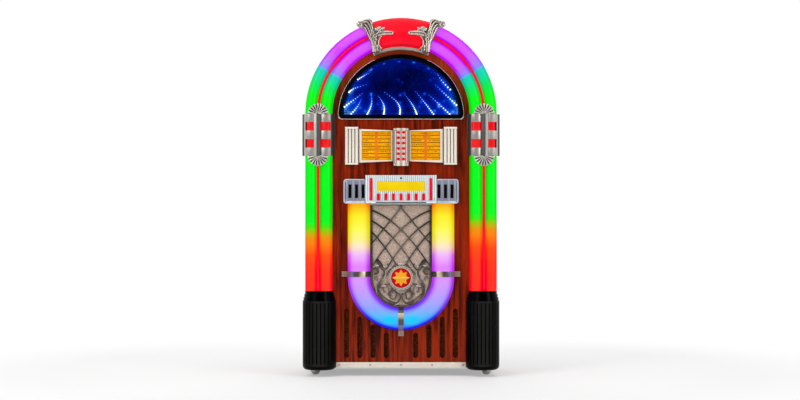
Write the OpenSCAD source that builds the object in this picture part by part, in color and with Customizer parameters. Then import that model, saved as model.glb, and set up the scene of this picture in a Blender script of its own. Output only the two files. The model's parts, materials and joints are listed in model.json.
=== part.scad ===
// Full-size round-topped wireless jukebox: a wooden cabinet on casters with lit pillars and arch,
// an infinity-mirror dome, a title rack with push buttons, a key panel and a horseshoe light tube
// round the speaker grille. Millimetres, +Z up, the front faces -Y, the floor is z = 0.

/* [Cabinet] */
// Half width of the cabinet, which is also the radius of its round top
cabinet_r = 384; // [360:1:420]
// Depth from the front panel's face to the rear panel's back
body_depth = 375; // [300:1:500]
// Height of the cabinet's lower edge above the floor
skirt_z = 34; // [28:1:44]
// Thickness of the bent side and top wrap
shell_wall = 15; // [10:1:20]
// Thickness of the front panel
front_t = 15; // [12:1:20]
// Thickness of the rear panel
rear_t = 6; // [4:1:10]
// Thickness of the base board that carries the casters
base_t = 18; // [16:1:25]
// Gap round the base board
board_clear = 0.3; // [0.2:0.1:0.5]

/* [Light band] */
// Width of the lit band on the pillars and the arch
lens_w = 110; // [104:1:116]
// How far the band stands outside the cabinet's side
lens_overhang = 4; // [3.5:0.5:6]
// Width of the inner of the band's two round lobes
inner_lobe_w = 52; // [46:1:54]
// Width of the red stripe between the lobes
stripe_w = 11; // [9:1:13]
// Height of the lobes above the front panel
lens_rise = 38; // [34:1:44]
// Height of the stripe above the front panel
stripe_rise = 27; // [22:1:30]
// Wall of the moulded lenses
lens_wall = 3; // [2:0.5:4]
// How far the band reaches back round the cabinet's edge
lens_wrap = 12; // [8:1:14]
// Running gap between neighbouring trim pieces
trim_clear = 0.3; // [0.2:0.1:0.5]

/* [Boots] */
// Radius of the black boot under each pillar
boot_r = 68; // [64:1:70]
// Height of the boot's lower end above the floor
boot_z = 26; // [20:1:30]
// Height of the boot's fluted body
boot_body_h = 280; // [220:1:320]
// Height of each of the three collar rings
collar_h = 13.3; // [10:0.1:16]
// Step in radius from one collar ring to the next
collar_step = 3.3; // [2:0.1:3.4]
// Wall of the boot
boot_wall = 5; // [4:0.5:6]
// Setback of the boot's axis behind the front panel's face
boot_setback = 7; // [3:1:8]
// Distance of the boot's axis in from the middle of the pillar
boot_inset = 1.7; // [0:0.1:2]
// Radius of the boot's rounded lower edge
boot_edge = 18; // [8:1:22]
// Number of flutes in a full turn
flute_count = 26; // [20:1:32]

/* [Horseshoe] */
// Height of the centre of the horseshoe's bend
horseshoe_z = 402; // [390:1:440]
// Radius of the horseshoe's centreline
horseshoe_r = 170.5; // [165:0.5:176]
// Radius of the half-round tube
tube_r = 45.5; // [42:0.5:48]
// Wall of the tube
tube_wall = 3; // [2:0.5:4]
// Length of the straight legs above the bend
horseshoe_leg = 299; // [260:1:340]
// Height of the side straps above the bend's centre
strap_lift = 12; // [6:1:40]
// Width of the chrome straps
strap_w = 22; // [18:1:28]
// Thickness of the chrome straps
strap_t = 2.5; // [2:0.5:4]
// Length of the strap's foot beside the tube
strap_foot = 24; // [16:1:28]

/* [Grille] */
// Width of the grille's rim
rim_w = 5; // [4:0.5:7]
// Height of the rim above the front panel
rim_rise = 14; // [10:1:18]
// Width of the lattice bars
bar_w = 4.5; // [3.5:0.5:6]
// Height of the lattice bars above the cloth
bar_rise = 5; // [3:0.5:7]
// Thickness of the cloth board
cloth_t = 3; // [2:0.5:4]
// Radius of the emblem's red disc
emblem_r = 40.5; // [36:0.5:43]
// Width of the ring round the emblem
emblem_ring_w = 10; // [7:0.5:12]
// Height of the emblem's centre above the bend's centre
emblem_lift = -4; // [-10:1:10]

/* [Vents] */
// Width of the round-ended vent slots
vent_w = 21; // [16:1:24]
// Distance from one vent slot to the next
vent_pitch = 53.8; // [50:0.1:54]
// Distance of the first slot from the middle
vent_start = 59.5; // [55:0.5:62]
// Height of the slots' lower ends above the floor
vent_z = 73; // [68:1:90]
// Rise of the slots' upper ends from one to the next
vent_rise = 32.5; // [26:0.5:34]

/* [Key panel] */
// Width of the ribbed middle panel
panel_w = 287; // [280:1:296]
// Height of the ribbed panel above its ledge
panel_h = 103; // [98:1:110]
// Height of the ledge along the panel's lower edge
ledge_h = 10; // [8:1:14]
// Height of the ribbed panel above the front panel
panel_rise = 36; // [32:1:40]
// Wall of the ribbed panel
panel_wall = 6; // [5:0.5:8]
// Number of ribs across the panel
rib_count = 37; // [31:2:45]
// Height of a rib
rib_rise = 2.4; // [1.5:0.1:3]
// Width of a red key
key_w = 10.4; // [9:0.1:12]
// Height of a red key
key_h = 27; // [22:1:30]
// Distance from one key to the next
key_pitch = 30.2; // [29:0.1:31.4]
// How far a key stands out of the panel's face
key_proud = 4.5; // [3.5:0.1:6]
// Travel of a key
key_travel = 3; // [2:0.1:3]
// Gap round a key in its slot
key_clear = 0.25; // [0.15:0.05:0.35]
// Width of the yellow plate
plate_w = 191; // [180:1:196]
// Height of the yellow plate
plate_h = 37; // [32:1:40]
// Radius of the remote receiver's hole
receiver_r = 4; // [3:0.5:5]

/* [Wings] */
// Width of a silver wing grille beside the key panel
wing_w = 87; // [84:1:90]
// Height of a wing above the ledge's underside
wing_h = 96; // [90:1:100]
// Height of a wing above the front panel
wing_rise = 31; // [26:1:34]
// Number of slots in a wing
wing_slots = 3; // [2:1:4]

/* [Title rack] */
// Wood left between the key panel and the title rack
title_gap = 43; // [36:1:60]
// Height of the title rack's end caps
title_h = 152; // [146:1:160]
// Width of a ribbed end cap
cap_w = 53; // [46:1:56]
// Width of a title window frame
window_w = 140; // [134:1:144]
// Height of a window frame at its outer end
window_h = 136; // [130:1:140]
// How much lower a window frame is at its inner end
window_taper = 12; // [6:1:16]
// Height of the end caps above the front panel
cap_rise = 36; // [32:1:40]
// Height of the window frames above the front panel
window_rise = 24; // [20:1:28]
// Width of the button column
button_col_w = 62; // [58:1:66]
// Height of the button column above the front panel
button_col_rise = 38; // [34:1:42]
// Radius of a push button
button_r = 6; // [5:0.1:6.5]
// Distance between the two columns of buttons
button_pitch_x = 21; // [19:0.5:23]
// Distance between the rows of buttons
button_pitch_z = 21.6; // [20:0.1:22]
// How far a button stands out of the column
button_proud = 5; // [4:0.1:6]
// Travel of a button
button_travel = 3; // [2:0.1:3.5]
// Radial gap round a button in its bore
button_clear = 0.1; // [0.05:0.05:0.2]

/* [Dome] */
// Wood left between the title rack and the dome
dome_gap = 34; // [28:1:44]
// Wood left between the dome and the light band
dome_margin = 24; // [20:1:30]
// Width of the black bezel
bezel_w = 17; // [14:1:20]
// Height of the bezel above the front panel
bezel_rise = 14; // [10:1:18]
// Radius of the bezel's lower corners
bezel_corner = 20; // [18:1:26]
// Height of the dome's centre above its flat lower edge
dome_lift = 7; // [4:1:10]
// Thickness of the dome's glass
glass_t = 4; // [3:0.5:4]
// Depth of the mirror box behind the glass
mirror_box_d = 34; // [26:1:44]
// Height of the arch's centre above the dome's
arch_lift = 12; // [8:1:16]

/* [Crest] */
// Half angle of the crest, between the ends of the light band
crest_half = 23.4; // [23:0.1:27]
// Angle taken up by each of the crest's brackets
bracket_angle = 5.9; // [5.5:0.1:7]
// Height of the crest's red lens above the front panel
crest_rise = 46; // [44:1:50]
// Height of the crest's brackets above the front panel
bracket_rise = 52; // [50:1:58]
// How far the brackets stand out beyond the light band
bracket_overhang = 8; // [6:1:14]
// Height of the rail under the crest's lens
rail_h = 11; // [8:1:13]
// How far the rail reaches in over the wood
rail_drop = 19; // [14:1:20]
// Radius of the rolled leaf at each bracket's top
volute_r = 13; // [11:1:16]
// Radius of the rounded end of each bracket's braid
braid_end_r = 15; // [12:1:16]

/* [Clamps] */
// Height of a pillar clamp
clamp_h = 168; // [160:1:180]
// Wall of a pillar clamp
clamp_wall = 3.5; // [2.5:0.5:4.5]
// Thickness of the red liner inside a clamp
liner_t = 1.5; // [1:0.5:2]
// Width of a clamp's outer flange
flange_w = 6; // [5:0.5:8]
// Height of a clamp's windows
clamp_window_h = 35; // [30:1:38]
// Distance between the middles of the two rows of windows
clamp_window_pitch = 69; // [64:1:76]
// Radius of the pleated fans above and below a clamp
fan_r = 42; // [36:1:46]
// Number of pleats in a fan
fan_pleats = 11; // [7:2:15]

/* [Kick strip] */
// Height of the metal strip along the cabinet's lower edge
kick_h = 22; // [18:1:26]
// Thickness of the strip
kick_t = 2; // [1.5:0.5:3]
// Radius of the screw heads
screw_r = 4; // [3:0.5:5]

/* [Casters] */
// Radius of a caster's wheel
wheel_r = 19; // [17:0.5:21]
// Width of a caster's wheel
wheel_w = 16; // [14:1:18]
// Distance of the wheel's axle behind the swivel axis
caster_trail = 12; // [8:1:14]
// Angle each caster is turned outwards from straight back
caster_turn = 55; // [0:5:90]
// Distance of a caster's swivel axis from the side's inner face
caster_x = 29; // [27:1:69]
// Distance of a caster's swivel axis from the panel's back face
caster_inset = 48; // [44:1:60]
// Radius of a caster's stem
stem_r = 5; // [4:0.5:6]
// Length of the stem in the base board
stem_l = 14; // [10:1:15]
// Radial gap round a stem in its bore and round an axle
caster_clear = 0.08; // [0.05:0.01:0.1]
// Radius of a caster's axle
axle_r = 3; // [2.5:0.5:4]
// Gap between the fork's crown and the board, and beside the wheel
caster_gap = 1; // [0.6:0.1:1.5]
// Thickness of a fork's crown and cheeks
fork_t = 3; // [2.5:0.5:4]

/* [Rear] */
// Width of the rear connection plate
terminal_w = 170; // [160:1:190]
// Height of the rear connection plate
terminal_h = 84; // [76:1:100]
// Thickness of the rear connection plate
terminal_t = 2; // [1.5:0.5:3]
// Height of the connection plate's middle above the floor
terminal_z = 300; // [250:1:400]
// Radius of the audio jack's bore
jack_r = 1.8; // [1.75:0.05:2]
// Depth of the audio jack's bore
jack_depth = 15; // [12:1:18]
// How far the audio jack stands out of the rear panel
jack_stand = 6; // [5:0.5:8]
// Width of the mains inlet's cavity
inlet_w = 24; // [23:0.5:26]
// Height of the mains inlet's cavity
inlet_h = 16; // [15:0.5:18]
// Depth of the mains inlet's cavity
inlet_depth = 16; // [14:1:20]
// Tilt of the power rocker either way from level
rocker_tilt = 10; // [6:1:12]

/* [Hidden] */
$fn = 48;
button_rows = 6;
button_cols = 2;
button_count = button_rows * button_cols;
key_count = 7;
caster_count = 4;

// Depth: the boots reach furthest forward and the audio jack furthest back
front_reach = boot_r - boot_setback;
rear_reach = jack_stand;
face_y = front_reach - (body_depth + front_reach + rear_reach) / 2;
rear_y = face_y + body_depth;
inner_front_y = face_y + front_t;
inner_rear_y = rear_y - rear_t;

// Heights stack up from the horseshoe to the arch
tube_out = horseshoe_r + tube_r;
tube_in = horseshoe_r - tube_r;
selector_z = horseshoe_z + horseshoe_leg;
panel_z0 = selector_z + ledge_h;
panel_z1 = panel_z0 + panel_h;
title_z0 = panel_z1 + title_gap;
title_mid_z = title_z0 + title_h / 2;
dome_base = title_z0 + title_h + dome_gap;
dome_z = dome_base + dome_lift;
arch_z = dome_z + arch_lift;

// Radii of the light band, which are distances from the middle on the pillars
lens_out = cabinet_r + lens_overhang;
lens_in = lens_out - lens_w;
stripe_in = lens_in + inner_lobe_w;
stripe_out = stripe_in + stripe_w;
stripe_mid = (stripe_in + stripe_out) / 2;
band_mid = (lens_in + lens_out) / 2;
lobes_at = [[lens_in, stripe_in], [stripe_out, lens_out]];
dome_r = lens_in - dome_margin;
led_w = 10;
led_t = 2;

// Boots and casters
collar_count = 3;
boot_top = boot_z + boot_body_h + collar_count * collar_h;
boot_bore = boot_r - collar_count * collar_step - boot_wall;
boot_at = band_mid - boot_inset;
flute_r = 3.4;
flute_margin = 8;
base_z = 2 * wheel_r + 2 * caster_gap + fork_t;
caster_y = [inner_front_y + caster_inset, inner_rear_y - caster_inset];
caster_at = [for (y = caster_y) for (side = [-1, 1]) [side * (cabinet_r - shell_wall - caster_x), y]];

// Clamps stand off the band by the liner and its two gaps
clamp_in = 2 * trim_clear + liner_t;
clamp_out = clamp_in + clamp_wall;
clamp_z1 = arch_z - 1;
clamp_z0 = clamp_z1 - clamp_h;
clamp_reach = 38;
spine = [stripe_in - 3, stripe_out + 10];
spine_rise = lens_rise + clamp_out + 2;
fan_ridge = 8;
fan_valley = 3;
fan_hub = 7;
window_inset = [6, 2];

// Title rack, from the middle outwards
rack_gap = 1;
window_x0 = button_col_w / 2 + rack_gap;
window_x1 = window_x0 + window_w;
cap_x0 = window_x1 + rack_gap;
card_x0 = window_x0 + 8;
card_x1 = window_x1 - 13;
card_h = window_h - 19;
card_t = 2;
card_lip = 4;
window_lip = 5;
button_wall = 8;
flange_t = 2;
flange_lap = 1.5;
seat_gap = 0.3;

// Key panel
panel_face = panel_rise - rib_rise;
panel_back = panel_face - panel_wall;
panel_floor = 4;
ledge_lip = 2;
bar_inset = 23;
bar_depth = 3;
bar_proud = 1.5;
bar_drop = 12;
plate_lift = 58;
wing_x0 = panel_w / 2 + trim_clear;
wing_corner = 8;
wing_slot_w = 12.6;
wing_slot_d = 20;
wing_margin = 20;
wing_bar_r = 5;

// Grille, which fills the inside of the horseshoe
grille_r = tube_in - 1;
grille_top = selector_z - trim_clear;
emblem_z = horseshoe_z + emblem_lift;
emblem_step = 3;
ring_step = 5;
leaf_r = 8;

// Works inside the cabinet
driver_r = 70;
driver_lip = 14;
driver_lip_t = 5;
driver_d = 78;
cone_d = 30;
cap_r = 24;
basket_r = 40;
magnet_r = 44;
magnet_h = 38;
driver_lift = 12;
driver_pitch = 184;
driver_z = [horseshoe_z + driver_lift, horseshoe_z + driver_lift + driver_pitch];
amp_size = [190, 140, 52];
amp_x = -135;
supply_size = [130, 120, 70];
supply_x = 125;
works_y = (inner_front_y + inner_rear_y) / 2 + 40;
fin_count = 9;
fin_t = 4;
fin_h = 20;
fin_inset = 8;
coil_r = 36;
coil_h = 26;

// Crest
rail_in = lens_in - rail_drop;
crest_in = rail_in + rail_h + trim_clear;
crest_gap_angle = 0.2;
crest_lens_half = crest_half - bracket_angle - crest_gap_angle;
bracket_out = lens_out + bracket_overhang;
bracket_wall = 4;
finger_z = arch_z + band_mid - 8;
finger_tip = 36;
finger_l = 30;
finger_h = 7;
finger_step = 2;
volute_at = lens_out + 3;
volute_lean = 0.9;
braid_end_at = lens_out + 1.5;
rail_half = crest_half + 1.6;
rail_lip = 1;
crest_bulge = 100;
crest_side = 4;

function arc(c, r, a0, a1, n = 24) =
    [for (i = [0:n]) let (a = a0 + (a1 - a0) * i / n) [c.x + r * cos(a), c.y + r * sin(a)]];

// A solid from v0 to v1 in front of the front panel's face, from an outline in x and z
module slab(v0, v1) {
    translate([0, face_y - v0, 0]) rotate([90, 0, 0]) linear_extrude(v1 - v0) children();
}

// A solid from z0 to z1, from a section in x and the distance in front of the face
module column(z0, z1) {
    translate([0, face_y, z0]) mirror([0, 1, 0]) linear_extrude(z1 - z0) children();
}

// A section in radius and distance in front of the face, turned about the height z
module sweep(a0, a1, z) {
    translate([0, face_y, z]) rotate([90, 0, 0]) rotate([0, 0, a0])
        rotate_extrude(angle = a1 - a0, $fn = 180) children();
}

module both() {
    children();
    mirror([1, 0, 0]) children();
}

module rect(x0, x1, y0, y1) {
    translate([x0, y0]) square([x1 - x0, y1 - y0]);
}

// A half-round section on the line y = 0, sunk a little into what carries it
module half_round(r) {
    sink = 0.5;
    translate([0, -sink]) intersection() {
        circle(r);
        rect(-r - 1, r + 1, 0, r + 1);
    }
}

module rounded_rect(x0, x1, y0, y1, r) {
    rect(x0 + r, x1 - r, y0, y1);
    rect(x0, x1, y0 + r, y1 - r);
    for (x = [x0 + r, x1 - r]) for (y = [y0 + r, y1 - r]) translate([x, y]) circle(r);
}

// Cabinet

module arch_outline(r) {
    polygon(concat([[-r, skirt_z], [r, skirt_z]], arc([0, arch_z], r, 0, 180, 90)));
}

module vent_slots() {
    r = vent_w / 2;
    for (side = [-1, 1]) for (k = [0:3]) {
        x = side * (vent_start + vent_pitch * k);
        top = horseshoe_z - tube_out - 11 + vent_rise * k;
        rect(x - r, x + r, vent_z + r, top - r);
        translate([x, vent_z + r]) circle(r);
        translate([x, top - r]) circle(r);
    }
}

module cabinet_shell() {
    depth = inner_rear_y - inner_front_y;
    color("saddlebrown") {
        both() translate([cabinet_r - shell_wall, inner_front_y, skirt_z])
            cube([shell_wall, depth, arch_z - skirt_z]);
        translate([0, inner_rear_y, arch_z]) rotate([90, 0, 0])
            rotate_extrude(angle = 180, $fn = 180) translate([cabinet_r - shell_wall, 0])
                square([shell_wall, depth]);
    }
}

module base_board() {
    half = cabinet_r - shell_wall - board_clear;
    y0 = inner_front_y + board_clear;
    color("burlywood") difference() {
        translate([-half, y0, base_z]) cube([2 * half, inner_rear_y - board_clear - y0, base_t]);
        for (p = caster_at) translate([p.x, p.y, base_z - 1])
            cylinder(r = stem_r + caster_clear, h = stem_l + 1.5);
    }
}

module front_panel() {
    color("sienna") slab(-front_t, 0) difference() {
        arch_outline(cabinet_r);
        polygon(dome_outline(dome_seat));
        vent_slots();
        for (z = driver_z) translate([0, z]) circle(driver_r);
    }
}

module rear_panel() {
    vent_half = 110;
    vent_step = 24;
    vent_r = 5.9;
    color("peru") translate([0, rear_y, 0]) rotate([90, 0, 0]) linear_extrude(rear_t)
        difference() {
            arch_outline(cabinet_r);
            fitting_holes(board_room);
            for (k = [1:6]) translate([0, arch_z - vent_step * (k + 1)])
                rounded_rect(-vent_half, vent_half, -vent_r - 0.1, vent_r + 0.1, vent_r);
        }
}

kick_half = boot_at - boot_r - trim_clear;

module kick_strip() {
    color("antiquewhite") slab(0, kick_t) rect(-kick_half, kick_half, skirt_z, skirt_z + kick_h);
}

module panel_screws() {
    head = 2;
    edge = cabinet_r - shell_wall / 2;
    sides = [for (k = [0:4]) skirt_z + 60 + (arch_z - skirt_z - 60) * k / 4];
    color("silver") {
        for (k = [-2:2]) slab(kick_t, kick_t + head)
            translate([k * (kick_half - 12) / 2, skirt_z + kick_h / 2]) circle(screw_r);
        for (side = [-1, 1]) for (z = sides) rear_screw([side * edge, z], head);
        for (a = [30:30:150]) rear_screw([edge * cos(a), arch_z + edge * sin(a)], head);
        for (sx = [-1, 1]) for (sz = [-1, 1])
            translate([0, terminal_t, 0])
                rear_screw([sx * (terminal_w / 2 - 5), terminal_z + sz * (terminal_h / 2 - 5)], head);
    }
}

module rear_screw(at, head) {
    translate([at.x, rear_y + head, at.y]) rotate([90, 0, 0]) cylinder(r = screw_r, h = head);
}

// Light band

// One round-topped lobe of the band, grown by g and open below
module lobe(span, g, floor_v = 0) {
    r = (span[1] - span[0]) / 2;
    intersection() {
        union() {
            translate([span[0] + r, lens_rise - r]) circle(r + g, $fn = 96);
            rect(span[0] - g, span[1] + g, floor_v, lens_rise - r);
        }
        rect(span[0] - g - 1, span[1] + g + 1, floor_v, lens_rise + g + 1);
    }
}

module lobes(g, floor_v = 0) {
    for (span = lobes_at) lobe(span, g, floor_v);
}

module lens_section() {
    difference() {
        union() {
            lobes(0);
            rect(stripe_in - lens_wall, stripe_out + lens_wall, 0, lens_wall);
            rect(lens_out - lens_wall, lens_out, -lens_wrap, lens_wall);
        }
        lobes(-lens_wall, -1);
    }
}

// A section followed up the pillar and round the arch, on both sides
module band() {
    both() {
        column(boot_top, arch_z) children();
        sweep(0, 90 - crest_half, arch_z) children();
    }
}

module arch_lenses() {
    color("limegreen") band() lens_section();
}

module stripe_section() {
    r = stripe_w / 2 - trim_clear;
    rect(stripe_mid - r, stripe_mid + r, lens_wall, stripe_rise - r);
    translate([stripe_mid, stripe_rise - r]) circle(r);
}

module arch_stripes() {
    color("crimson") band() stripe_section();
}

module light_strips() {
    color("white") {
        for (span = lobes_at) {
            mid = (span[0] + span[1]) / 2;
            band() rect(mid - led_w / 2, mid + led_w / 2, 0, led_t);
        }
        horseshoe() rect(horseshoe_r - led_w / 2, horseshoe_r + led_w / 2, 0, led_t);
    }
}

// Boots

// The lit band stands on the boot's top, so the boot fills out under it there
module boot_solid() {
    translate([boot_at, face_y + boot_setback, boot_z]) difference() {
        union() {
            rotate_extrude($fn = 96) boot_body_profile();
            for (k = [0:collar_count - 1]) translate([0, 0, boot_body_h + k * collar_h])
                cylinder(r = boot_r - (k + 1) * collar_step, h = collar_h, $fn = 96);
        }
        for (i = [0:flute_count - 1]) rotate([0, 0, 360 * i / flute_count])
            translate([boot_r + flute_r / 2, 0, boot_edge + flute_margin])
                cylinder(r = flute_r, h = boot_body_h - boot_edge - 2 * flute_margin, $fn = 24);
        translate([0, 0, boot_wall]) cylinder(r = boot_bore, h = boot_top - boot_z - 2 * boot_wall);
    }
}

module boot_body_profile() {
    polygon(concat(
        [[0, 0]],
        arc([boot_r - boot_edge, boot_edge], boot_edge, -90, 0, 8),
        [[boot_r, boot_body_h], [0, boot_body_h]]));
}

module boots() {
    reach = 2 * boot_r;
    color([0.03, 0.03, 0.03]) both() difference() {
        boot_solid();
        translate([0, face_y - trim_clear, -1])
            cube([cabinet_r + trim_clear, reach, boot_top + 2]);
    }
}

// Dome

// The dome's outline, drawn in from the bezel's outer edge by d
function dome_outline(d) =
    let (r = dome_r - d, base = dome_base + d, rc = max(bezel_corner - d, 2),
         dz = base + rc - dome_z, cx = sqrt((r - rc) * (r - rc) - dz * dz), a = atan2(dz, cx))
    concat(arc([cx, base + rc], rc, -90, a, 8), arc([0, dome_z], r, a, 180 - a, 72),
           arc([-cx, base + rc], rc, 180 - a, 270, 8));

dome_seat = bezel_w * 0.65;
box_wall = 4;

module dome_bezel() {
    color([0.02, 0.02, 0.03]) slab(0, bezel_rise) difference() {
        polygon(dome_outline(0));
        polygon(dome_outline(bezel_w));
    }
}

module dome_glass() {
    color([0.05, 0.1, 0.6]) slab(-glass_t, 0) polygon(dome_outline(dome_seat + trim_clear));
}

module dome_mirror_box() {
    back = -glass_t - mirror_box_d;
    color([0.2, 0.22, 0.3]) {
        slab(back, -glass_t) difference() {
            polygon(dome_outline(dome_seat + trim_clear));
            polygon(dome_outline(dome_seat + trim_clear + box_wall));
        }
        slab(back, back + box_wall) polygon(dome_outline(dome_seat + trim_clear + box_wall / 2));
        slab(-front_t - box_wall, -front_t) difference() {
            polygon(dome_outline(dome_seat - bezel_w / 2));
            polygon(dome_outline(dome_seat + trim_clear + box_wall / 2));
        }
    }
}

// Title rack

module window_outline() {
    inner = (window_h - window_taper) / 2;
    outer = window_h / 2;
    polygon([[window_x0, title_mid_z - inner], [window_x1, title_mid_z - outer],
             [window_x1, title_mid_z + outer], [window_x0, title_mid_z + inner]]);
}

module card_rect(lap) {
    rect(card_x0 - lap, card_x1 + lap, title_mid_z - card_h / 2 - lap, title_mid_z + card_h / 2 + lap);
}

module window_frame() {
    difference() {
        slab(0, window_rise) window_outline();
        slab(-1, window_rise + 1) card_rect(0);
        slab(-1, window_rise - window_lip) card_rect(card_lip);
    }
}

// An end cap is a block with upright half-round ribs between two plain bands
module end_cap() {
    ribs = 4;
    edge = 8;
    pitch = cap_w / ribs;
    base = cap_rise - pitch / 2;
    z1 = title_z0 + title_h;
    slab(0, base) rect(cap_x0, cap_x0 + cap_w, title_z0, z1);
    for (k = [0:ribs - 1]) column(title_z0 + edge, z1 - edge)
        translate([cap_x0 + pitch * (k + 0.5), base]) half_round(pitch / 2);
    for (z = [title_z0, z1 - edge]) slab(base - 1, cap_rise)
        rect(cap_x0, cap_x0 + cap_w, z, z + edge);
}

module title_rack() {
    color("ivory") both() {
        window_frame();
        end_cap();
    }
}

module title_cards() {
    v1 = window_rise - window_lip;
    divider = 3;
    mid = (card_x0 + card_x1) / 2;
    half = card_h / 2 - trim_clear;
    color("gold") both() {
        slab(v1 - card_t, v1) card_rect(card_lip - trim_clear);
        slab(v1, v1 + 1)
            rect(mid - divider / 2, mid + divider / 2, title_mid_z - half, title_mid_z + half);
    }
}

// Buttons are numbered down the left column, then down the right
function button_at(i) =
    let (col = floor((i - 1) / button_rows), row = (i - 1) % button_rows)
    [(col - (button_cols - 1) / 2) * button_pitch_x,
     title_mid_z + ((button_rows - 1) / 2 - row) * button_pitch_z];

module button_column() {
    half = button_col_w / 2;
    z0 = title_z0 - 5;
    z1 = title_z0 + title_h - 5;
    wall = 5;
    color("ivory") difference() {
        slab(0, button_col_rise) rounded_rect(-half, half, z0, z1, 4);
        slab(-1, button_col_rise - button_wall) rect(wall - half, half - wall, z0 + wall, z1 - wall);
        for (i = [1:button_count]) slab(0, button_col_rise + 1)
            translate(button_at(i)) circle(button_r + button_clear);
    }
}

module select_button(i) {
    back = button_col_rise - button_wall - seat_gap;
    crown = 1.5;
    at = button_at(i);
    color("red") translate([at.x, face_y - back, at.y]) rotate([90, 0, 0]) {
        translate([0, 0, -flange_t]) cylinder(r = button_r + flange_lap, h = flange_t);
        cylinder(r = button_r, h = button_col_rise - back + button_proud - crown);
        translate([0, 0, button_col_rise - back + button_proud - crown])
            cylinder(r1 = button_r, r2 = button_r - crown, h = crown);
    }
}

// Key panel

// The ribbed face seen from above: flat-topped ribs on a plate
function rib_points() =
    let (pitch = panel_w / rib_count)
    [for (k = [rib_count - 1:-1:0]) let (x = pitch * (k + 0.5) - panel_w / 2)
        for (p = [[0.36, 0], [0.26, rib_rise], [-0.26, rib_rise], [-0.36, 0]])
            [x + p.x * pitch, panel_face + p.y]];

module panel_section() {
    half = panel_w / 2;
    polygon(concat([[-half, 0], [half, 0], [half, panel_face]], rib_points(), [[-half, panel_face]]));
}

function key_x(i) = (i - (key_count + 1) / 2) * key_pitch;
key_z0 = panel_z0 + 1;
shelf_z = key_z0 + key_h + 2 * flange_lap;
bar_x = panel_w / 2 - bar_inset;
bar_z1 = panel_z1 - bar_drop;
plate_z = panel_z0 + plate_lift;

module key_panel() {
    half = panel_w / 2;
    color([0.8, 0.88, 0.92]) difference() {
        union() {
            column(panel_z0, panel_z1) panel_section();
            slab(0, panel_rise + ledge_lip) rect(-half, half, selector_z, panel_z0);
        }
        slab(-1, panel_back) {
            rect(panel_wall - half, half - panel_wall, selector_z + panel_floor, shelf_z);
            rect(panel_wall - half, half - panel_wall, shelf_z + panel_wall, panel_z1 - panel_wall);
        }
        for (i = [1:key_count]) slab(0, panel_rise + 1)
            rect(key_x(i) - key_w / 2 - key_clear, key_x(i) + key_w / 2 + key_clear,
                 key_z0 - key_clear, key_z0 + key_h + key_clear);
        for (side = [-1, 1]) slab(panel_face - bar_depth, panel_rise + 1)
            rect(side * bar_x - key_w / 2 - key_clear, side * bar_x + key_w / 2 + key_clear,
                 key_z0 - key_clear, bar_z1 + key_clear);
        slab(panel_face - bar_depth, panel_rise + 1)
            rect(-plate_w / 2 - key_clear, plate_w / 2 + key_clear,
                 plate_z - plate_h / 2 - key_clear, plate_z + plate_h / 2 + key_clear);
        slab(panel_face - bar_depth, panel_rise + 1) translate([0, bar_z1]) circle(receiver_r);
    }
}

module panel_bars() {
    color("red") for (side = [-1, 1]) slab(panel_face - bar_depth, panel_rise + bar_proud)
        rect(side * bar_x - key_w / 2, side * bar_x + key_w / 2, key_z0, bar_z1);
}

module yellow_plate() {
    color("gold") slab(panel_face - bar_depth, panel_rise)
        rect(-plate_w / 2, plate_w / 2, plate_z - plate_h / 2, plate_z + plate_h / 2);
}

module control_key(i) {
    back = panel_back - seat_gap;
    x = key_x(i);
    color("red") {
        slab(back, panel_rise + key_proud) rect(x - key_w / 2, x + key_w / 2, key_z0, key_z0 + key_h);
        slab(back - flange_t, back) rect(x - key_w / 2 - flange_lap, x + key_w / 2 + flange_lap,
                                         key_z0 - flange_lap, key_z0 + key_h + flange_lap);
    }
}

// A wing is a round-cornered block with dark slots, and a half-round bar beside each
module wing() {
    pitch = wing_w / (wing_slots + 0.3);
    z0 = selector_z + wing_margin;
    z1 = selector_z + wing_h - wing_margin;
    bar_over = wing_margin - wing_corner;
    difference() {
        slab(0, wing_rise)
            rounded_rect(wing_x0, wing_x0 + wing_w, selector_z, selector_z + wing_h, wing_corner);
        for (k = [0:wing_slots - 1]) slab(wing_rise - wing_slot_d, wing_rise + 1)
            translate([wing_x0 + pitch * (k + 0.36), 0]) rect(-wing_slot_w / 2, wing_slot_w / 2, z0, z1);
    }
    for (k = [0:wing_slots - 1]) column(z0 - bar_over, z1 + bar_over)
        translate([wing_x0 + pitch * (k + 0.86), wing_rise]) half_round(wing_bar_r);
}

module wing_grilles() {
    color("silver") both() wing();
}

// Horseshoe

// A section followed down one leg, round the bend and up the other leg
module horseshoe() {
    both() column(horseshoe_z, selector_z - trim_clear) children();
    sweep(180, 360, horseshoe_z) children();
}

module tube_section() {
    translate([horseshoe_r, 0]) intersection() {
        difference() {
            circle(tube_r, $fn = 96);
            circle(tube_r - tube_wall, $fn = 96);
        }
        rect(-tube_r - 1, tube_r + 1, 0, tube_r + 1);
    }
}

module horseshoe_tube() {
    color("orange") horseshoe() tube_section();
}

// A strap lies over the tube, with a foot outside it and its inner end above the grille's rim
module strap_section() {
    inner = tube_r + trim_clear;
    translate([horseshoe_r, 0]) difference() {
        union() {
            intersection() {
                circle(inner + strap_t, $fn = 96);
                rect(-tube_r - 10, tube_r + 10, 0, tube_r + 10);
            }
            rect(tube_r, inner + strap_foot, 0, strap_t);
        }
        circle(inner, $fn = 96);
        rect(-tube_r - 10, 2 - tube_r, -1, rim_rise + 0.5);
    }
}

// The strap under the bend has straight sides, so it is cut from a wider turned piece
module tube_straps() {
    z = horseshoe_z + strap_lift;
    half = strap_w / 2;
    angle = atan(strap_w / tube_in);
    color("dimgray") {
        both() column(z - half, z + half) strap_section();
        intersection() {
            sweep(270 - angle, 270 + angle, horseshoe_z) strap_section();
            slab(-1, 2 * tube_r) rect(-half, half, skirt_z, horseshoe_z);
        }
    }
}

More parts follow.
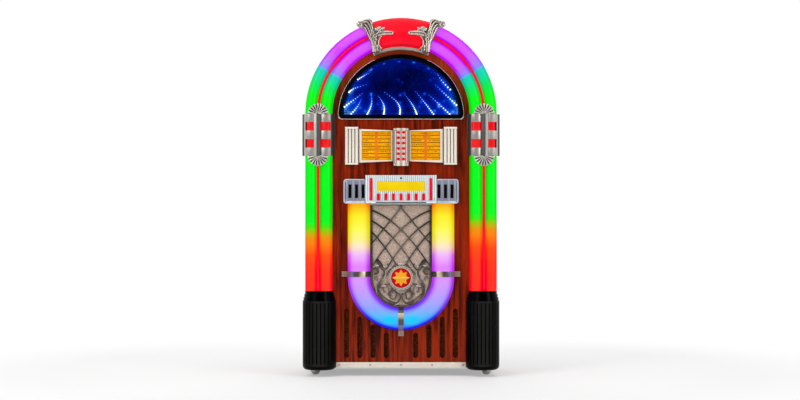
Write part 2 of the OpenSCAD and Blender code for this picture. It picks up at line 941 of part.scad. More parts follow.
// Grille

function grille_outline(d) =
    let (r = grille_r - d)
    concat([[r, grille_top - d], [-r, grille_top - d]], arc([0, horseshoe_z], r, 180, 360, 48));

// Each lattice bar falls across the grille: start below the top edge, slope and bend
lattice = [[27, 0.32, 0.0026], [69, 0.49, 0.0032], [111, 0.975, 0.0031], [-139, 1.25, 0]];

function bar_height(bar, x) = grille_top - bar[0] - bar[1] * (x + grille_r) - bar[2] * pow(x + grille_r, 2);

function bar_half(bar, x) =
    let (slope = bar[1] + 2 * bar[2] * (x + grille_r))
    bar_w / 2 * sqrt(1 + slope * slope);

module lattice_bar(bar) {
    n = 12;
    xs = [for (k = [0:n]) grille_r * (2 * k / n - 1)];
    polygon(concat([for (x = xs) [x, bar_height(bar, x) - bar_half(bar, x)]],
                   [for (k = [n:-1:0]) [xs[k], bar_height(bar, xs[k]) + bar_half(bar, xs[k])]]));
}

// Each curved bar of the scrollwork: its centre from the emblem's, its radius, its first and last angle
scrolls = [
    [147.5, 18, 78.5, 130, 228],
    [0, 4, 107, -82, -24],
    [30, -78, 26, 20, 330],
    [30, -66, 12, -40, 250],
    [104, 27, 13, 0, 300],
    [55, -43, 18, -60, 235],
];

module scrollwork() {
    n = 20;
    for (bar = scrolls) {
        c = [bar[0], emblem_z + bar[1]];
        polygon(concat(arc(c, bar[2] + bar_w / 2, bar[3], bar[4], n),
                       arc(c, bar[2] - bar_w / 2, bar[4], bar[3], n)));
    }
}

module grille_casting() {
    ring_out = emblem_r + emblem_ring_w;
    stop_z = emblem_z + emblem_r - emblem_ring_w;
    color("dimgray") difference() {
        union() {
            slab(0, rim_rise) difference() {
                polygon(grille_outline(0));
                polygon(grille_outline(rim_w));
            }
            slab(cloth_t, cloth_t + bar_rise) intersection() {
                polygon(grille_outline(rim_w / 2));
                union() {
                    intersection() {
                        both() for (bar = lattice) lattice_bar(bar);
                        rect(-grille_r, grille_r, stop_z, grille_top);
                    }
                    both() scrollwork();
                }
            }
            slab(cloth_t, cloth_t + bar_rise + ring_step)
                translate([0, emblem_z]) circle(ring_out, $fn = 72);
            slab(cloth_t, cloth_t + bar_rise + emblem_step) translate([0, emblem_z])
                for (a = [30:30:150]) rotate(a) translate([ring_out, 0]) circle(leaf_r);
        }
        slab(0, rim_rise + 10) translate([0, emblem_z]) circle(emblem_r + trim_clear, $fn = 72);
    }
}

module speaker_cloth() {
    reach = vent_start + 3 * vent_pitch + vent_w;
    color("tan") {
        slab(0, cloth_t) polygon(grille_outline(rim_w + trim_clear));
        slab(-front_t - cloth_t, -front_t)
            rect(-reach, reach, vent_z - 10, horseshoe_z - tube_out + 3 * vent_rise);
    }
}

module emblem_disc() {
    color("crimson") slab(cloth_t, cloth_t + bar_rise + emblem_step)
        translate([0, emblem_z]) circle(emblem_r, $fn = 72);
}

module woofer(z) {
    cone_edge = driver_r - 8;
    magnet_y = driver_d - magnet_h;
    translate([0, inner_front_y, z]) rotate([-90, 0, 0]) rotate_extrude($fn = 72) polygon([
        [0, cone_d], [cap_r, cone_d], [cone_edge, 0], [driver_r + driver_lip, 0],
        [driver_r + driver_lip, driver_lip_t], [driver_r, driver_lip_t], [basket_r, magnet_y],
        [magnet_r, magnet_y], [magnet_r, driver_d], [0, driver_d]]);
}

module woofers() {
    color([0.12, 0.12, 0.13]) for (z = driver_z) woofer(z);
}

module on_base(x, size) {
    translate([x - size.x / 2, works_y - size.y / 2, base_z + base_t]) cube(size);
}

module electronics() {
    top = base_z + base_t;
    fin_pitch = (amp_size.x - 2 * fin_inset - fin_t) / (fin_count - 1);
    fin_x0 = amp_x - amp_size.x / 2 + fin_inset;
    color("darkgray") {
        on_base(amp_x, amp_size);
        for (k = [0:fin_count - 1])
            translate([fin_x0 + fin_pitch * k, works_y - amp_size.y / 2 + fin_inset, top + amp_size.z])
                cube([fin_t, amp_size.y - 2 * fin_inset, fin_h]);
        on_base(supply_x, supply_size);
        translate([supply_x, works_y, top + supply_size.z]) cylinder(r = coil_r, h = coil_h);
    }
}

// Rear connections

board_room = 1.5;
inlet_x = -48;
rocker_x = 6;
jack_x = 48;
socket_wall = 2;
rocker_w = 14;
rocker_h = 24;
rocker_depth = 16;
jack_barrel = 4;

module plate_frame(x, w, h, depth) {
    flange = 5;
    translate([x, rear_y + terminal_t, terminal_z]) rotate([-90, 0, 0]) difference() {
        union() {
            linear_extrude(socket_wall) square([w + 2 * flange, h + 2 * flange], center = true);
            translate([0, 0, -depth]) linear_extrude(depth + socket_wall)
                square([w + 2 * socket_wall, h + 2 * socket_wall], center = true);
        }
        translate([0, 0, socket_wall - depth]) linear_extrude(depth + 1)
            square([w, h], center = true);
    }
}

module plate_hole(x, w, h, room) {
    around = 2 * (socket_wall + room);
    translate([x, terminal_z]) square([w + around, h + around], center = true);
}

// The holes that the rear fittings pass through, in their plate and in the board behind it
module fitting_holes(room) {
    plate_hole(inlet_x, inlet_w, inlet_h, room);
    plate_hole(rocker_x, rocker_w, rocker_h, room);
    translate([jack_x, terminal_z]) circle(jack_barrel + room);
}

module inlet_pins() {
    pin = [4, 2, inlet_depth - 3];
    floor_y = rear_y + terminal_t + socket_wall - inlet_depth;
    for (p = [[-7, -2.5], [7, -2.5], [0, 3]])
        translate([inlet_x + p.x - pin[1] / 2, floor_y - 0.5, terminal_z + p.y - pin[0] / 2])
            cube([pin[1], pin[2], pin[0]]);
}

module audio_jack() {
    nut = 6.5;
    tip = rear_y + jack_stand;
    translate([jack_x, tip, terminal_z]) rotate([90, 0, 0]) difference() {
        union() {
            cylinder(r = jack_barrel, h = jack_depth + 3);
            translate([0, 0, jack_stand - terminal_t - 2.5]) cylinder(r = nut, h = 2.5, $fn = 6);
        }
        translate([0, 0, -1]) cylinder(r = jack_r, h = jack_depth + 1);
    }
}

module terminal_plate() {
    color([0.15, 0.15, 0.16]) {
        translate([0, rear_y + terminal_t, 0]) rotate([90, 0, 0]) linear_extrude(terminal_t) difference() {
            rect(-terminal_w / 2, terminal_w / 2, terminal_z - terminal_h / 2, terminal_z + terminal_h / 2);
            fitting_holes(trim_clear);
        }
        plate_frame(inlet_x, inlet_w, inlet_h, inlet_depth);
        inlet_pins();
        plate_frame(rocker_x, rocker_w, rocker_h, rocker_depth);
        audio_jack();
    }
}

module power_rocker() {
    half = rocker_w / 2 - 0.3;
    pivot_y = rear_y + terminal_t;
    color([0.05, 0.05, 0.05]) translate([rocker_x, pivot_y, terminal_z]) rotate([rocker_tilt, 0, 0])
        rotate([90, 0, 90]) translate([0, 0, -half]) linear_extrude(2 * half)
            polygon([[-8, -7], [2.4, -11], [0.6, 0], [2.4, 11], [-8, 7]]);
}

// Crest

module crest_section() {
    intersection() {
        translate([(crest_in + lens_out) / 2, crest_rise - crest_bulge]) circle(crest_bulge, $fn = 180);
        rect(crest_in, lens_out, 0, crest_rise + 1);
    }
}

module crest_lens() {
    inside = [crest_in + lens_wall, lens_out - lens_wall];
    color("red") sweep(90 - crest_lens_half, 90 + crest_lens_half, arch_z) difference() {
        union() {
            crest_section();
            rect(lens_out - lens_wall, lens_out, -lens_wrap, 1);
        }
        translate([0, -lens_wall]) intersection() {
            crest_section();
            rect(inside[0], inside[1], 1, crest_rise);
        }
        rect(inside[0], inside[1], -1, crest_side);
    }
}

module bracket_section() {
    difference() {
        union() {
            rect(rail_in + rail_lip, bracket_out, 0, bracket_rise);
            rect(lens_out + trim_clear, bracket_out, -lens_wrap, 1);
        }
        rect(rail_in + bracket_wall, bracket_out - bracket_wall, -1, bracket_rise - bracket_wall);
    }
}

// A point of the arch, at the radius r and the angle a from upright
function on_arch(r, a) = [r * sin(a), arch_z + r * cos(a)];

// The finger is a straight bar that spreads into a leaf at its root
module finger() {
    shoulder = 22;
    neck = finger_tip + finger_l;
    root = (finger_z - arch_z) * tan(crest_half - bracket_angle) + finger_h;
    polygon(concat(
        [[root, finger_z + shoulder], [neck, finger_z + 2 * finger_h], [neck, finger_z + finger_h]],
        arc([finger_tip, finger_z], finger_h, 90, 270, 12),
        arc([neck, finger_z - finger_h - shoulder], shoulder, 90, 0, 6),
        [[root, finger_z - finger_h - shoulder]]));
}

// A bracket, with the finger it lays over the lens, its rounded end and its rolled leaf
module crest_bracket() {
    inner = crest_half - bracket_angle;
    braid_lean = asin((braid_end_r + 1) / braid_end_at);
    sweep(90 - crest_half, 90 - inner, arch_z) bracket_section();
    slab(crest_rise + seat_gap, bracket_rise + finger_step) finger();
    slab(1 - lens_wrap, bracket_rise + finger_step) intersection() {
        translate(on_arch(braid_end_at, inner + braid_lean)) circle(braid_end_r);
        translate(on_arch(0, 0)) difference() {
            circle(bracket_out + braid_end_r, $fn = 180);
            circle(lens_out + bracket_wall / 2, $fn = 180);
        }
    }
    slab(lens_rise + finger_step, bracket_rise + 2 * finger_step)
        translate(on_arch(volute_at, crest_half + volute_lean)) circle(volute_r);
}

module crest_frame() {
    color("gray") {
        sweep(90 - rail_half, 90 + rail_half, arch_z) rect(rail_in, rail_in + rail_h, 0, crest_rise - 6);
        both() crest_bracket();
    }
}

// Clamps

window_rows = [for (side = [-1, 1]) (clamp_z0 + clamp_z1) / 2 + side * clamp_window_pitch / 2];

module clamp_section() {
    outer = lens_out + clamp_out + flange_w;
    difference() {
        union() {
            lobes(clamp_out);
            rect(spine[0], spine[1], stripe_rise, spine_rise);
            rect(lens_out + clamp_in, outer, -clamp_reach, flange_w);
            rect(cabinet_r + trim_clear, outer, -clamp_reach, -lens_wrap - clamp_in);
            rect(lens_in - clamp_out - flange_w, lens_in - clamp_in, 0, clamp_wall);
        }
        lobes(clamp_in, -1);
        rect(stripe_in - 1, stripe_out + 1, -1, stripe_rise + 1);
    }
}

module clamp_windows() {
    columns = [[lens_in + window_inset[0], spine[0]], [spine[1], lens_out - window_inset[1]]];
    for (z = window_rows) for (x = columns)
        rect(x[0], x[1], z - clamp_window_h / 2, z + clamp_window_h / 2);
}

// A half-round fan of pleats, flat behind, standing on the clamp's end
module fan() {
    steps = 2 * fan_pleats;
    n = steps + 1;
    back = [for (k = [0:steps]) fan_point(fan_r, 0, k)];
    edge = [for (k = [0:steps]) fan_point(fan_r, k % 2 == 0 ? fan_valley : fan_ridge, k)];
    ring = [for (k = [0:steps]) fan_point(fan_hub, fan_ridge, k)];
    foot = 3 * n;
    boss = foot + 1;
    polyhedron(
        points = concat(back, edge, ring, [[0, 0, 0], [0, -fan_ridge - 1, 0]]),
        faces = concat(
            [for (k = [0:steps - 1]) [k, n + k, k + 1]],
            [for (k = [0:steps - 1]) [k + 1, n + k, n + k + 1]],
            [for (k = [0:steps - 1]) [n + k, 2 * n + k, n + k + 1]],
            [for (k = [0:steps - 1]) [n + k + 1, 2 * n + k, 2 * n + k + 1]],
            [for (k = [0:steps - 1]) [2 * n + k, boss, 2 * n + k + 1]],
            [for (k = [0:steps - 1]) [foot, k, k + 1]],
            [[0, foot, n], [n, foot, 2 * n], [2 * n, foot, boss]],
            [[foot, steps, n + steps], [foot, n + steps, 2 * n + steps], [foot, 2 * n + steps, boss]]));
}

function fan_point(r, h, k) = let (a = 90 * k / fan_pleats) [r * cos(a), -h, r * sin(a)];

module clamp_bands() {
    seat_y = face_y - lens_rise - trim_clear;
    color("lightgray") both() {
        difference() {
            column(clamp_z0, clamp_z1) clamp_section();
            slab(3, spine_rise + 5) clamp_windows();
        }
        translate([stripe_mid, seat_y, clamp_z1 + trim_clear]) fan();
        translate([stripe_mid, seat_y, clamp_z0 - trim_clear]) mirror([0, 0, 1]) fan();
    }
}

// The liners stop short of the stripe's channel, where the lobes come close together
module clamp_liners() {
    margin = 6;
    side = 2 * liner_t + lens_wall;
    color("orangered") both() for (span = lobes_at) column(clamp_z0 + margin, clamp_z1 - margin)
        difference() {
            lobe(span, trim_clear + liner_t);
            lobe(span, trim_clear, -1);
            rect(stripe_in - side, stripe_out + side, -1, stripe_rise);
        }
}

// Casters

module at_caster(i) {
    p = caster_at[i - 1];
    translate([p.x, p.y, 0]) rotate([0, 0, -sign(p.x) * caster_turn]) children();
}

module caster_fork(i) {
    inner = wheel_w / 2 + caster_gap;
    crown_z = base_z - caster_gap - fork_t;
    crown_r = inner + fork_t;
    eye = axle_r + 3;
    color("lightgray") at_caster(i) {
        translate([0, 0, crown_z]) cylinder(r = crown_r, h = fork_t);
        translate([0, 0, crown_z + fork_t - 0.5])
            cylinder(r = stem_r, h = stem_l + caster_gap);
        for (side = [-1, 1]) translate([side * (inner + fork_t / 2) - fork_t / 2, 0, 0])
            rotate([90, 0, 90]) linear_extrude(fork_t) {
                polygon([[-2, crown_z + fork_t], [caster_trail - eye, wheel_r], [caster_trail + eye, wheel_r],
                         [caster_trail + eye - 1, crown_z + fork_t]]);
                translate([caster_trail, wheel_r]) circle(eye);
            }
        translate([-crown_r, -2, crown_z]) cube([2 * crown_r, caster_trail + eye + 1, fork_t]);
        translate([-inner - fork_t, caster_trail, wheel_r]) rotate([0, 90, 0])
            cylinder(r = axle_r, h = 2 * (inner + fork_t));
    }
}

module caster_wheel(i) {
    edge = 2;
    color("gainsboro") at_caster(i) translate([-wheel_w / 2, caster_trail, wheel_r]) rotate([0, 90, 0])
        rotate_extrude($fn = 72) polygon([
            [axle_r + caster_clear, 0], [wheel_r - edge, 0], [wheel_r, edge], [wheel_r, wheel_w - edge],
            [wheel_r - edge, wheel_w], [axle_r + caster_clear, wheel_w]]);
}

cabinet_shell();
base_board();
rear_panel();
front_panel();
kick_strip();
panel_screws();
arch_lenses();
arch_stripes();
light_strips();
crest_lens();
crest_frame();
clamp_bands();
clamp_liners();
boots();
dome_bezel();
dome_glass();
dome_mirror_box();
title_rack();
title_cards();
button_column();
key_panel();
wing_grilles();
panel_bars();
yellow_plate();
horseshoe_tube();
tube_straps();
grille_casting();
speaker_cloth();
emblem_disc();
woofers();
electronics();
terminal_plate();
power_rocker();
for (i = [1:button_count]) select_button(i);
for (i = [1:key_count]) control_key(i);
for (i = [1:caster_count]) caster_fork(i);
for (i = [1:caster_count]) caster_wheel(i);
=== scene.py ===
"""Looks of a full-size round-topped wireless jukebox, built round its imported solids."""
import json
import math
from functools import partialmethod

import bmesh
import bpy
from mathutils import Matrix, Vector

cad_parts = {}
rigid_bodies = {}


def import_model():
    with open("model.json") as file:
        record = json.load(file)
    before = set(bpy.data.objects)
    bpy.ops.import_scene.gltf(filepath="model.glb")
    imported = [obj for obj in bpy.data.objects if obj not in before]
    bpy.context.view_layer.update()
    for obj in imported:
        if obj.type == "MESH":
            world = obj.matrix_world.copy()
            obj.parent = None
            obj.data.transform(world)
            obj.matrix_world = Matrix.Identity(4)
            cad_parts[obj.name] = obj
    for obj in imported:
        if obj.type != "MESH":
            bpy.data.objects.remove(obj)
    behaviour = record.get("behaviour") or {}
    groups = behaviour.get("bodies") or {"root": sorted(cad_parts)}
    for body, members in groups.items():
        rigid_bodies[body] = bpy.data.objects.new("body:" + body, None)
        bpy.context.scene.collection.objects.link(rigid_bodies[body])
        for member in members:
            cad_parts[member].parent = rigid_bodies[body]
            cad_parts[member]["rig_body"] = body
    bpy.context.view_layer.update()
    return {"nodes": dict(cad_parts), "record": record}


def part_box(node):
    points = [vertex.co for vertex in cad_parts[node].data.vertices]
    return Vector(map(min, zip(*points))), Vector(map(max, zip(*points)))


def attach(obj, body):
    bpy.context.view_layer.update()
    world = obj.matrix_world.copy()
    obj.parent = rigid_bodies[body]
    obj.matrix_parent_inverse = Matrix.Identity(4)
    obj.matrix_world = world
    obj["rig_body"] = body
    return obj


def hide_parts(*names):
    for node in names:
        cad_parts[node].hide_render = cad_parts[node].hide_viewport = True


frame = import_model()
scene = bpy.context.scene
scene.view_settings.view_transform = "Standard"

# Camera and studio
# The photograph looks at the front square on from far off, at about mid height.
# A white floor fades into a white backdrop, with soft boxes above and beside.

PHOTO_W = 800
PHOTO_MIDDLE_X = 401
PHOTO_FLOOR_Y = 376
PHOTO_MIDDLE_Y = 200
METRES_PER_PIXEL = 0.004056
SENSOR_W = 36
CAMERA_GAP = 7.5
FACE_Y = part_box("front_panel")[0].y
CABINET_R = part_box("front_panel")[1].x
ARCH_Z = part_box("front_panel")[1].z - CABINET_R

camera = bpy.data.objects.new("camera", bpy.data.cameras.new("camera"))
scene.collection.objects.link(camera)
camera.data.sensor_width = SENSOR_W
camera.data.lens = SENSOR_W * CAMERA_GAP / (PHOTO_W * METRES_PER_PIXEL)
camera.location = ((PHOTO_W / 2 - PHOTO_MIDDLE_X) * METRES_PER_PIXEL, FACE_Y - CAMERA_GAP,
                   (PHOTO_FLOOR_Y - PHOTO_MIDDLE_Y) * METRES_PER_PIXEL)
camera.rotation_euler = (math.radians(90), 0, 0)
scene.camera = camera


def tint(*shown):
    """The linear colour, with alpha, of one that is given as it shows on a screen."""
    return (*(((c + 0.055) / 1.055) ** 2.4 if c > 0.04045 else c / 12.92 for c in shown), 1)


class Wire:
    """An output of a shader node. A sum on wires adds a maths node to their tree."""

    def __init__(self, socket):
        self.socket = socket
        self.tree = socket.id_data

    def sum(self, operation, other=0.0, first=None):
        """The result of one operation on this wire and another wire or a number."""
        node = self.tree.nodes.new("ShaderNodeMath")
        node.operation = operation
        feed(node.inputs[0], self if first is None else first)
        feed(node.inputs[1], other)
        return Wire(node.outputs[0])

    def __rsub__(self, other):
        return self.sum("SUBTRACT", self, other)

    __add__ = partialmethod(sum, "ADD")
    __sub__ = partialmethod(sum, "SUBTRACT")
    __mul__ = partialmethod(sum, "MULTIPLY")
    __truediv__ = partialmethod(sum, "DIVIDE")
    __abs__ = partialmethod(sum, "ABSOLUTE")
    most = partialmethod(sum, "MAXIMUM")


def feed(socket, value):
    """A socket linked from a wire or another socket, or set. Three numbers are a shown colour."""
    if isinstance(value, Wire):
        value = value.socket
    if isinstance(value, bpy.types.NodeSocket):
        socket.id_data.links.new(value, socket)
    else:
        socket.default_value = tint(*value) if isinstance(value, tuple) and len(value) == 3 else value


def add(tree, kind, **values):
    """A node with its attributes and its inputs set or linked. Underscores stand for spaces."""
    node = tree.nodes.new(kind)
    for name, value in values.items():
        socket = name.replace("_", " ")
        if socket in node.inputs:
            feed(node.inputs[socket], value)
        else:
            setattr(node, name, value)
    return node


def new_material(name):
    """A material with its node tree and its Principled shader."""
    material = bpy.data.materials.new(name)
    material.use_nodes = True
    tree = material.node_tree
    return material, tree, next(n for n in tree.nodes if n.type == "BSDF_PRINCIPLED")


def dress(shader, **values):
    """Inputs of a shader set or linked by their names. Underscores stand for spaces."""
    for name, value in values.items():
        feed(shader.inputs[name.replace("_", " ")], value)


def ramp(factor, stops):
    """A colour ramp with stops of place and shown colour."""
    node = add(factor.tree, "ShaderNodeValToRGB", Fac=factor)
    elements = node.color_ramp.elements
    while len(elements) < len(stops):
        elements.new(0.5)
    for element, (place, colour) in zip(elements, stops):
        element.position = place
        element.color = tint(*colour)
    return Wire(node.outputs["Color"])


def mix(factor, a, b):
    """Two colours, each a wire or a plain colour, mixed by a factor."""
    tree = next(value.tree for value in (factor, a, b) if isinstance(value, Wire))
    node = add(tree, "ShaderNodeMix", data_type="RGBA")
    for number, value in ((0, factor), (6, a), (7, b)):
        feed(node.inputs[number], value)
    return Wire(node.outputs[2])


def smooth_step(value, low, high):
    """0 below low, 1 above high and a smooth rise between."""
    node = add(value.tree, "ShaderNodeMapRange", interpolation_type="SMOOTHSTEP", Value=value, From_Min=low,
               From_Max=high)
    return Wire(node.outputs["Result"])


def own(tree):
    """The place of the surface in metres, in the object's own frame."""
    return Wire(add(tree, "ShaderNodeTexCoord").outputs["Object"])


def place(tree):
    """X, Y and Z of the surface in metres, in the object's own frame."""
    return [Wire(o) for o in add(tree, "ShaderNodeSeparateXYZ", Vector=own(tree)).outputs]


def distance(a, b):
    """The length of the way that two wires at right angles go."""
    return (a * a + b * b).sum("SQRT")


def seen_by(tree, *rays):
    """1 for the named kinds of rays and 0 for others."""
    path = add(tree, "ShaderNodeLightPath").outputs
    seen = Wire(path[f"Is {rays[0]} Ray"])
    for ray in rays[1:]:
        seen = seen.most(Wire(path[f"Is {ray} Ray"]))
    return seen


def either(tree, factor, a, b, output):
    """Two shaders mixed by a factor into an output node."""
    both = add(tree, "ShaderNodeMixShader", Fac=factor)
    feed(both.inputs[1], a.outputs[0])
    feed(both.inputs[2], b.outputs[0])
    feed(next(n for n in tree.nodes if n.type == output).inputs["Surface"], both.outputs[0])


# Mirrors see the room's grey side in front of the cabinet, and the camera sees only white
STUDIO_SIDE = (0.44, 0.44, 0.45)
WHITE = (1, 1, 1)
FILL_LEVEL = 0.45
BACKDROP_FADE = (-0.55, 0.1)
world = bpy.data.worlds.new("studio")
scene.world = world
world.use_nodes = True
sky = world.node_tree
direction = add(sky, "ShaderNodeTexCoord").outputs["Generated"]
depth = Wire(add(sky, "ShaderNodeSeparateXYZ", Vector=direction).outputs["Y"])
backdrop = ramp(smooth_step(depth, *BACKDROP_FADE), [(0, STUDIO_SIDE), (1, WHITE)])
backdrop = mix(seen_by(sky, "Camera"), backdrop, WHITE)
fill = add(sky, "ShaderNodeBackground", Strength=FILL_LEVEL)
shown = add(sky, "ShaderNodeBackground", Color=backdrop, Strength=1.0)
either(sky, seen_by(sky, "Camera", "Glossy", "Transmission"), fill, shown, "OUTPUT_WORLD")

FLOOR_HALF = 15
FLOOR_FADE = (0.9, 2.2)
FLOOR_SHEEN = 0.36
FRONT_FADE = (-3.2, -1.3)
floor_mesh = bpy.data.meshes.new("floor")
corners = [(x * FLOOR_HALF, y * FLOOR_HALF, 0) for x, y in ((-1, -1), (1, -1), (1, 1), (-1, 1))]
floor_mesh.from_pydata(corners, [], [(0, 1, 2, 3)])
floor = bpy.data.objects.new("floor", floor_mesh)
scene.collection.objects.link(floor)
floor_material, tree, shader = new_material("white floor")
dress(shader, Base_Color=(0.93, 0.93, 0.93, 1), Roughness=0.9, Specular_IOR_Level=0.1)
x, y, z = place(tree)
fade = smooth_step(distance(x, y), *FLOOR_FADE).most(FLOOR_SHEEN)
shown_floor = ramp(smooth_step(y, *FRONT_FADE), [(0, STUDIO_SIDE), (1, WHITE)])
shown_floor = mix(seen_by(tree, "Camera"), shown_floor, WHITE)
white = add(tree, "ShaderNodeEmission", Color=shown_floor, Strength=1.0)
either(tree, fade * seen_by(tree, "Camera", "Glossy"), shader, white, "OUTPUT_MATERIAL")
floor_mesh.materials.append(floor_material)


CABINET_MIDDLE = Vector((0, 0, 0.75))


def soft_box(name, spot, size, power):
    """A square soft light at a spot, turned towards the middle of the cabinet."""
    lamp = bpy.data.lights.new(name, "AREA")
    lamp.shape = "RECTANGLE"
    lamp.size, lamp.size_y = size
    lamp.energy = power
    box = bpy.data.objects.new(name, lamp)
    box.location = spot
    box.rotation_euler = (CABINET_MIDDLE - Vector(spot)).to_track_quat("-Z", "Y").to_euler()
    scene.collection.objects.link(box)


soft_box("key light", (-2.6, -3.2, 3.0), (1.6, 2.2), 70)
soft_box("fill light", (3.0, -2.8, 1.8), (1.2, 2.6), 38)
soft_box("top light", (0, -0.6, 4.2), (3.0, 2.0), 50)
soft_box("back light", (0, 3.4, 2.6), (3.0, 2.0), 70)

# Cabinet
# A walnut-veneered wrap bent over the top, with a flat veneered front set into it, under
# clear gloss lacquer. The base and the back are plain board.


def shader_group(name, inputs, outputs):
    """An empty shader node group with its inputs as wires and its named result sockets."""
    group = bpy.data.node_groups.new(name, "ShaderNodeTree")
    for socket, start in inputs.items():
        kind = "NodeSocketColor" if isinstance(start, tuple) else "NodeSocketFloat"
        feed(group.interface.new_socket(socket, in_out="INPUT", socket_type=kind), start)
    for socket in outputs:
        kind = "NodeSocketColor" if socket == "Color" else "NodeSocketFloat"
        group.interface.new_socket(socket, in_out="OUTPUT", socket_type=kind)
    sources = group.nodes.new("NodeGroupInput").outputs
    return group, {name: Wire(sources[name]) for name in inputs}, group.nodes.new("NodeGroupOutput")


def use(tree, group, **values):
    """The results of a group that is placed in a material with its own values."""
    node = add(tree, "ShaderNodeGroup", node_tree=group)
    dress(node, **values)
    return {o.name: Wire(o) for o in node.outputs}


def noise(vector, scale, detail, **values):
    """Cloudy noise from 0 to 1 over a place."""
    node = add(vector.tree, "ShaderNodeTexNoise", Vector=vector, Scale=scale, Detail=detail, **values)
    return Wire(node.outputs["Fac"])


def stretched(vector, **scales):
    """A place multiplied along X, Y and Z."""
    node = add(vector.tree, "ShaderNodeVectorMath", operation="MULTIPLY", Vector=vector)
    feed(node.inputs[1], add(vector.tree, "ShaderNodeCombineXYZ", **scales).outputs[0])
    return Wire(node.outputs[0])


def bump(shader, height, strength, distance):
    """Fine relief on a shader from a height."""
    node = add(height.tree, "ShaderNodeBump", Height=height, Strength=strength, Distance=distance)
    feed(shader.inputs["Normal"], node.outputs["Normal"])


# Long grain up the piece, or with Wrap 1 over the arch from foot to foot: fine pores, wider
# growth bands and slow shifts of tone
wood_grain, given, out = shader_group(
    "wood grain", {"Dark": (0.3, 0.08, 0.03), "Light": (0.6, 0.2, 0.05), "Fineness": 46.0, "Stretch": 0.05,
                   "Figure": 0.4, "Wrap": 0.0}, ["Color", "Roughness", "Height"])
x, y, z = place(wood_grain)
rise = (z - ARCH_Z).most(0.0)
drop = (ARCH_Z - z).most(0.0)
over = x.sum("ARCTAN2", rise) * CABINET_R + x.sum("SIGN") * drop
bent = Wire(add(wood_grain, "ShaderNodeCombineXYZ", Y=y, Z=over).outputs[0])
veneer_place = mix(given["Wrap"], own(wood_grain), bent)
along = stretched(veneer_place, X=1.0, Y=1.0, Z=given["Stretch"])
growth = noise(along, given["Fineness"], 6.0, Roughness=0.62, Distortion=0.5)
flames = noise(along, given["Fineness"] * 0.4, 3.0, Roughness=0.55, Distortion=1.6)
pores = noise(along, given["Fineness"] * 9.0, 2.0)
streaks = smooth_step(growth * 0.55 + flames * 0.45, 0.38, 0.6)
veneer = mix(streaks, given["Dark"], given["Light"])
veneer = mix(smooth_step(pores, 0.58, 0.7) * 0.5, veneer, given["Dark"])
shift = smooth_step(noise(veneer_place, 4.0, 2.0), 0.4, 0.75) * given["Figure"]
dress(out, Color=mix(shift, veneer, given["Light"]), Roughness=pores * 0.2 + 0.22, Height=pores)

# The veneer is paler towards the top of the arch
PALE_FROM = (ARCH_Z - 0.05, ARCH_Z + 0.25)
PALE_VENEER = (0.76, 0.3, 0.1)


def wood(name, fineness, stretch, light, dark, lacquer, wrap=0.0, paleness=0.5):
    """A veneer or board material from the wood grain, under lacquer of the given weight."""
    material, tree, shader = new_material(name)
    grain = use(tree, wood_grain, Fineness=fineness, Stretch=stretch, Light=light, Dark=dark, Wrap=wrap)
    paler = mix(smooth_step(place(tree)[2], *PALE_FROM) * paleness, grain["Color"], PALE_VENEER)
    dress(shader, Base_Color=paler, Roughness=grain["Roughness"], Specular_IOR_Level=0.1,
          Coat_Weight=lacquer, Coat_Roughness=0.08)
    bump(shader, grain["Height"], strength=0.15, distance=0.0005)
    return material


def piece(name, mesh, slot, material=None, body="cabinet", nodes=()):
    """A mesh made an object that has a finish, moves with a body and stands for CAD nodes. slot is not used.
    """
    made = bpy.data.objects.new(name, mesh)
    scene.collection.objects.link(made)
    if material:
        mesh.materials.clear()
        mesh.materials.append(material)
    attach(made, body)
    if nodes:
        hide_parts(*nodes)
    return made


def plain_mesh(made):
    """The object's mesh with its modifiers applied. The object itself goes."""
    evaluated = made.evaluated_get(bpy.context.evaluated_depsgraph_get())
    mesh = bpy.data.meshes.new_from_object(evaluated)
    bpy.data.objects.remove(made)
    return mesh


SLOT_OF = {row["node"]: row["material_slot"] for row in frame["record"]["subparts"]}
MERGE = 1e-5
SHARP = math.radians(32)
FLAT = math.radians(1)


def softened(node, material, width=0.0, segments=2):
    """A CAD solid with its sharp edges rounded by a width and its curved faces shaded smooth."""
    mesh = frame["nodes"][node].data.copy()
    shape = bmesh.new()
    shape.from_mesh(mesh)
    bmesh.ops.remove_doubles(shape, verts=shape.verts, dist=MERGE)
    bmesh.ops.dissolve_limit(shape, angle_limit=FLAT, verts=shape.verts, edges=shape.edges)
    shape.to_mesh(mesh)
    shape.free()
    if width:
        made = bpy.data.objects.new(node + "_soft", mesh)
        scene.collection.objects.link(made)
        rounding = made.modifiers.new("rounding", "BEVEL")
        rounding.width = width
        rounding.segments = segments
        rounding.limit_method = "ANGLE"
        rounding.angle_limit = SHARP
        mesh = plain_mesh(made)
    mesh.set_sharp_from_angle(angle=SHARP)
    return piece(node + "_finish", mesh, SLOT_OF[node], material, frame["nodes"][node]["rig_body"], [node])


WALNUT = {"fineness": 75, "stretch": 0.055, "light": (0.65, 0.17, 0.006), "dark": (0.24, 0.04, 0.003),
          "lacquer": 0.09}
softened("cabinet_shell", wood("bent walnut", **WALNUT, wrap=1.0), 0.003)
softened("front_panel", wood("lacquered walnut", **WALNUT))
board = wood("stained board", 30, 0.12, light=(0.24, 0.12, 0.07), dark=(0.12, 0.06, 0.04), lacquer=0.05,
             paleness=0.0)
softened("base_board", board, 0.002)
softened("rear_panel", board, 0.001)

# Kick strip
# A pressed metal strip along the foot of the front, held by five screws. The same screws
# hold the back and its connection plate.

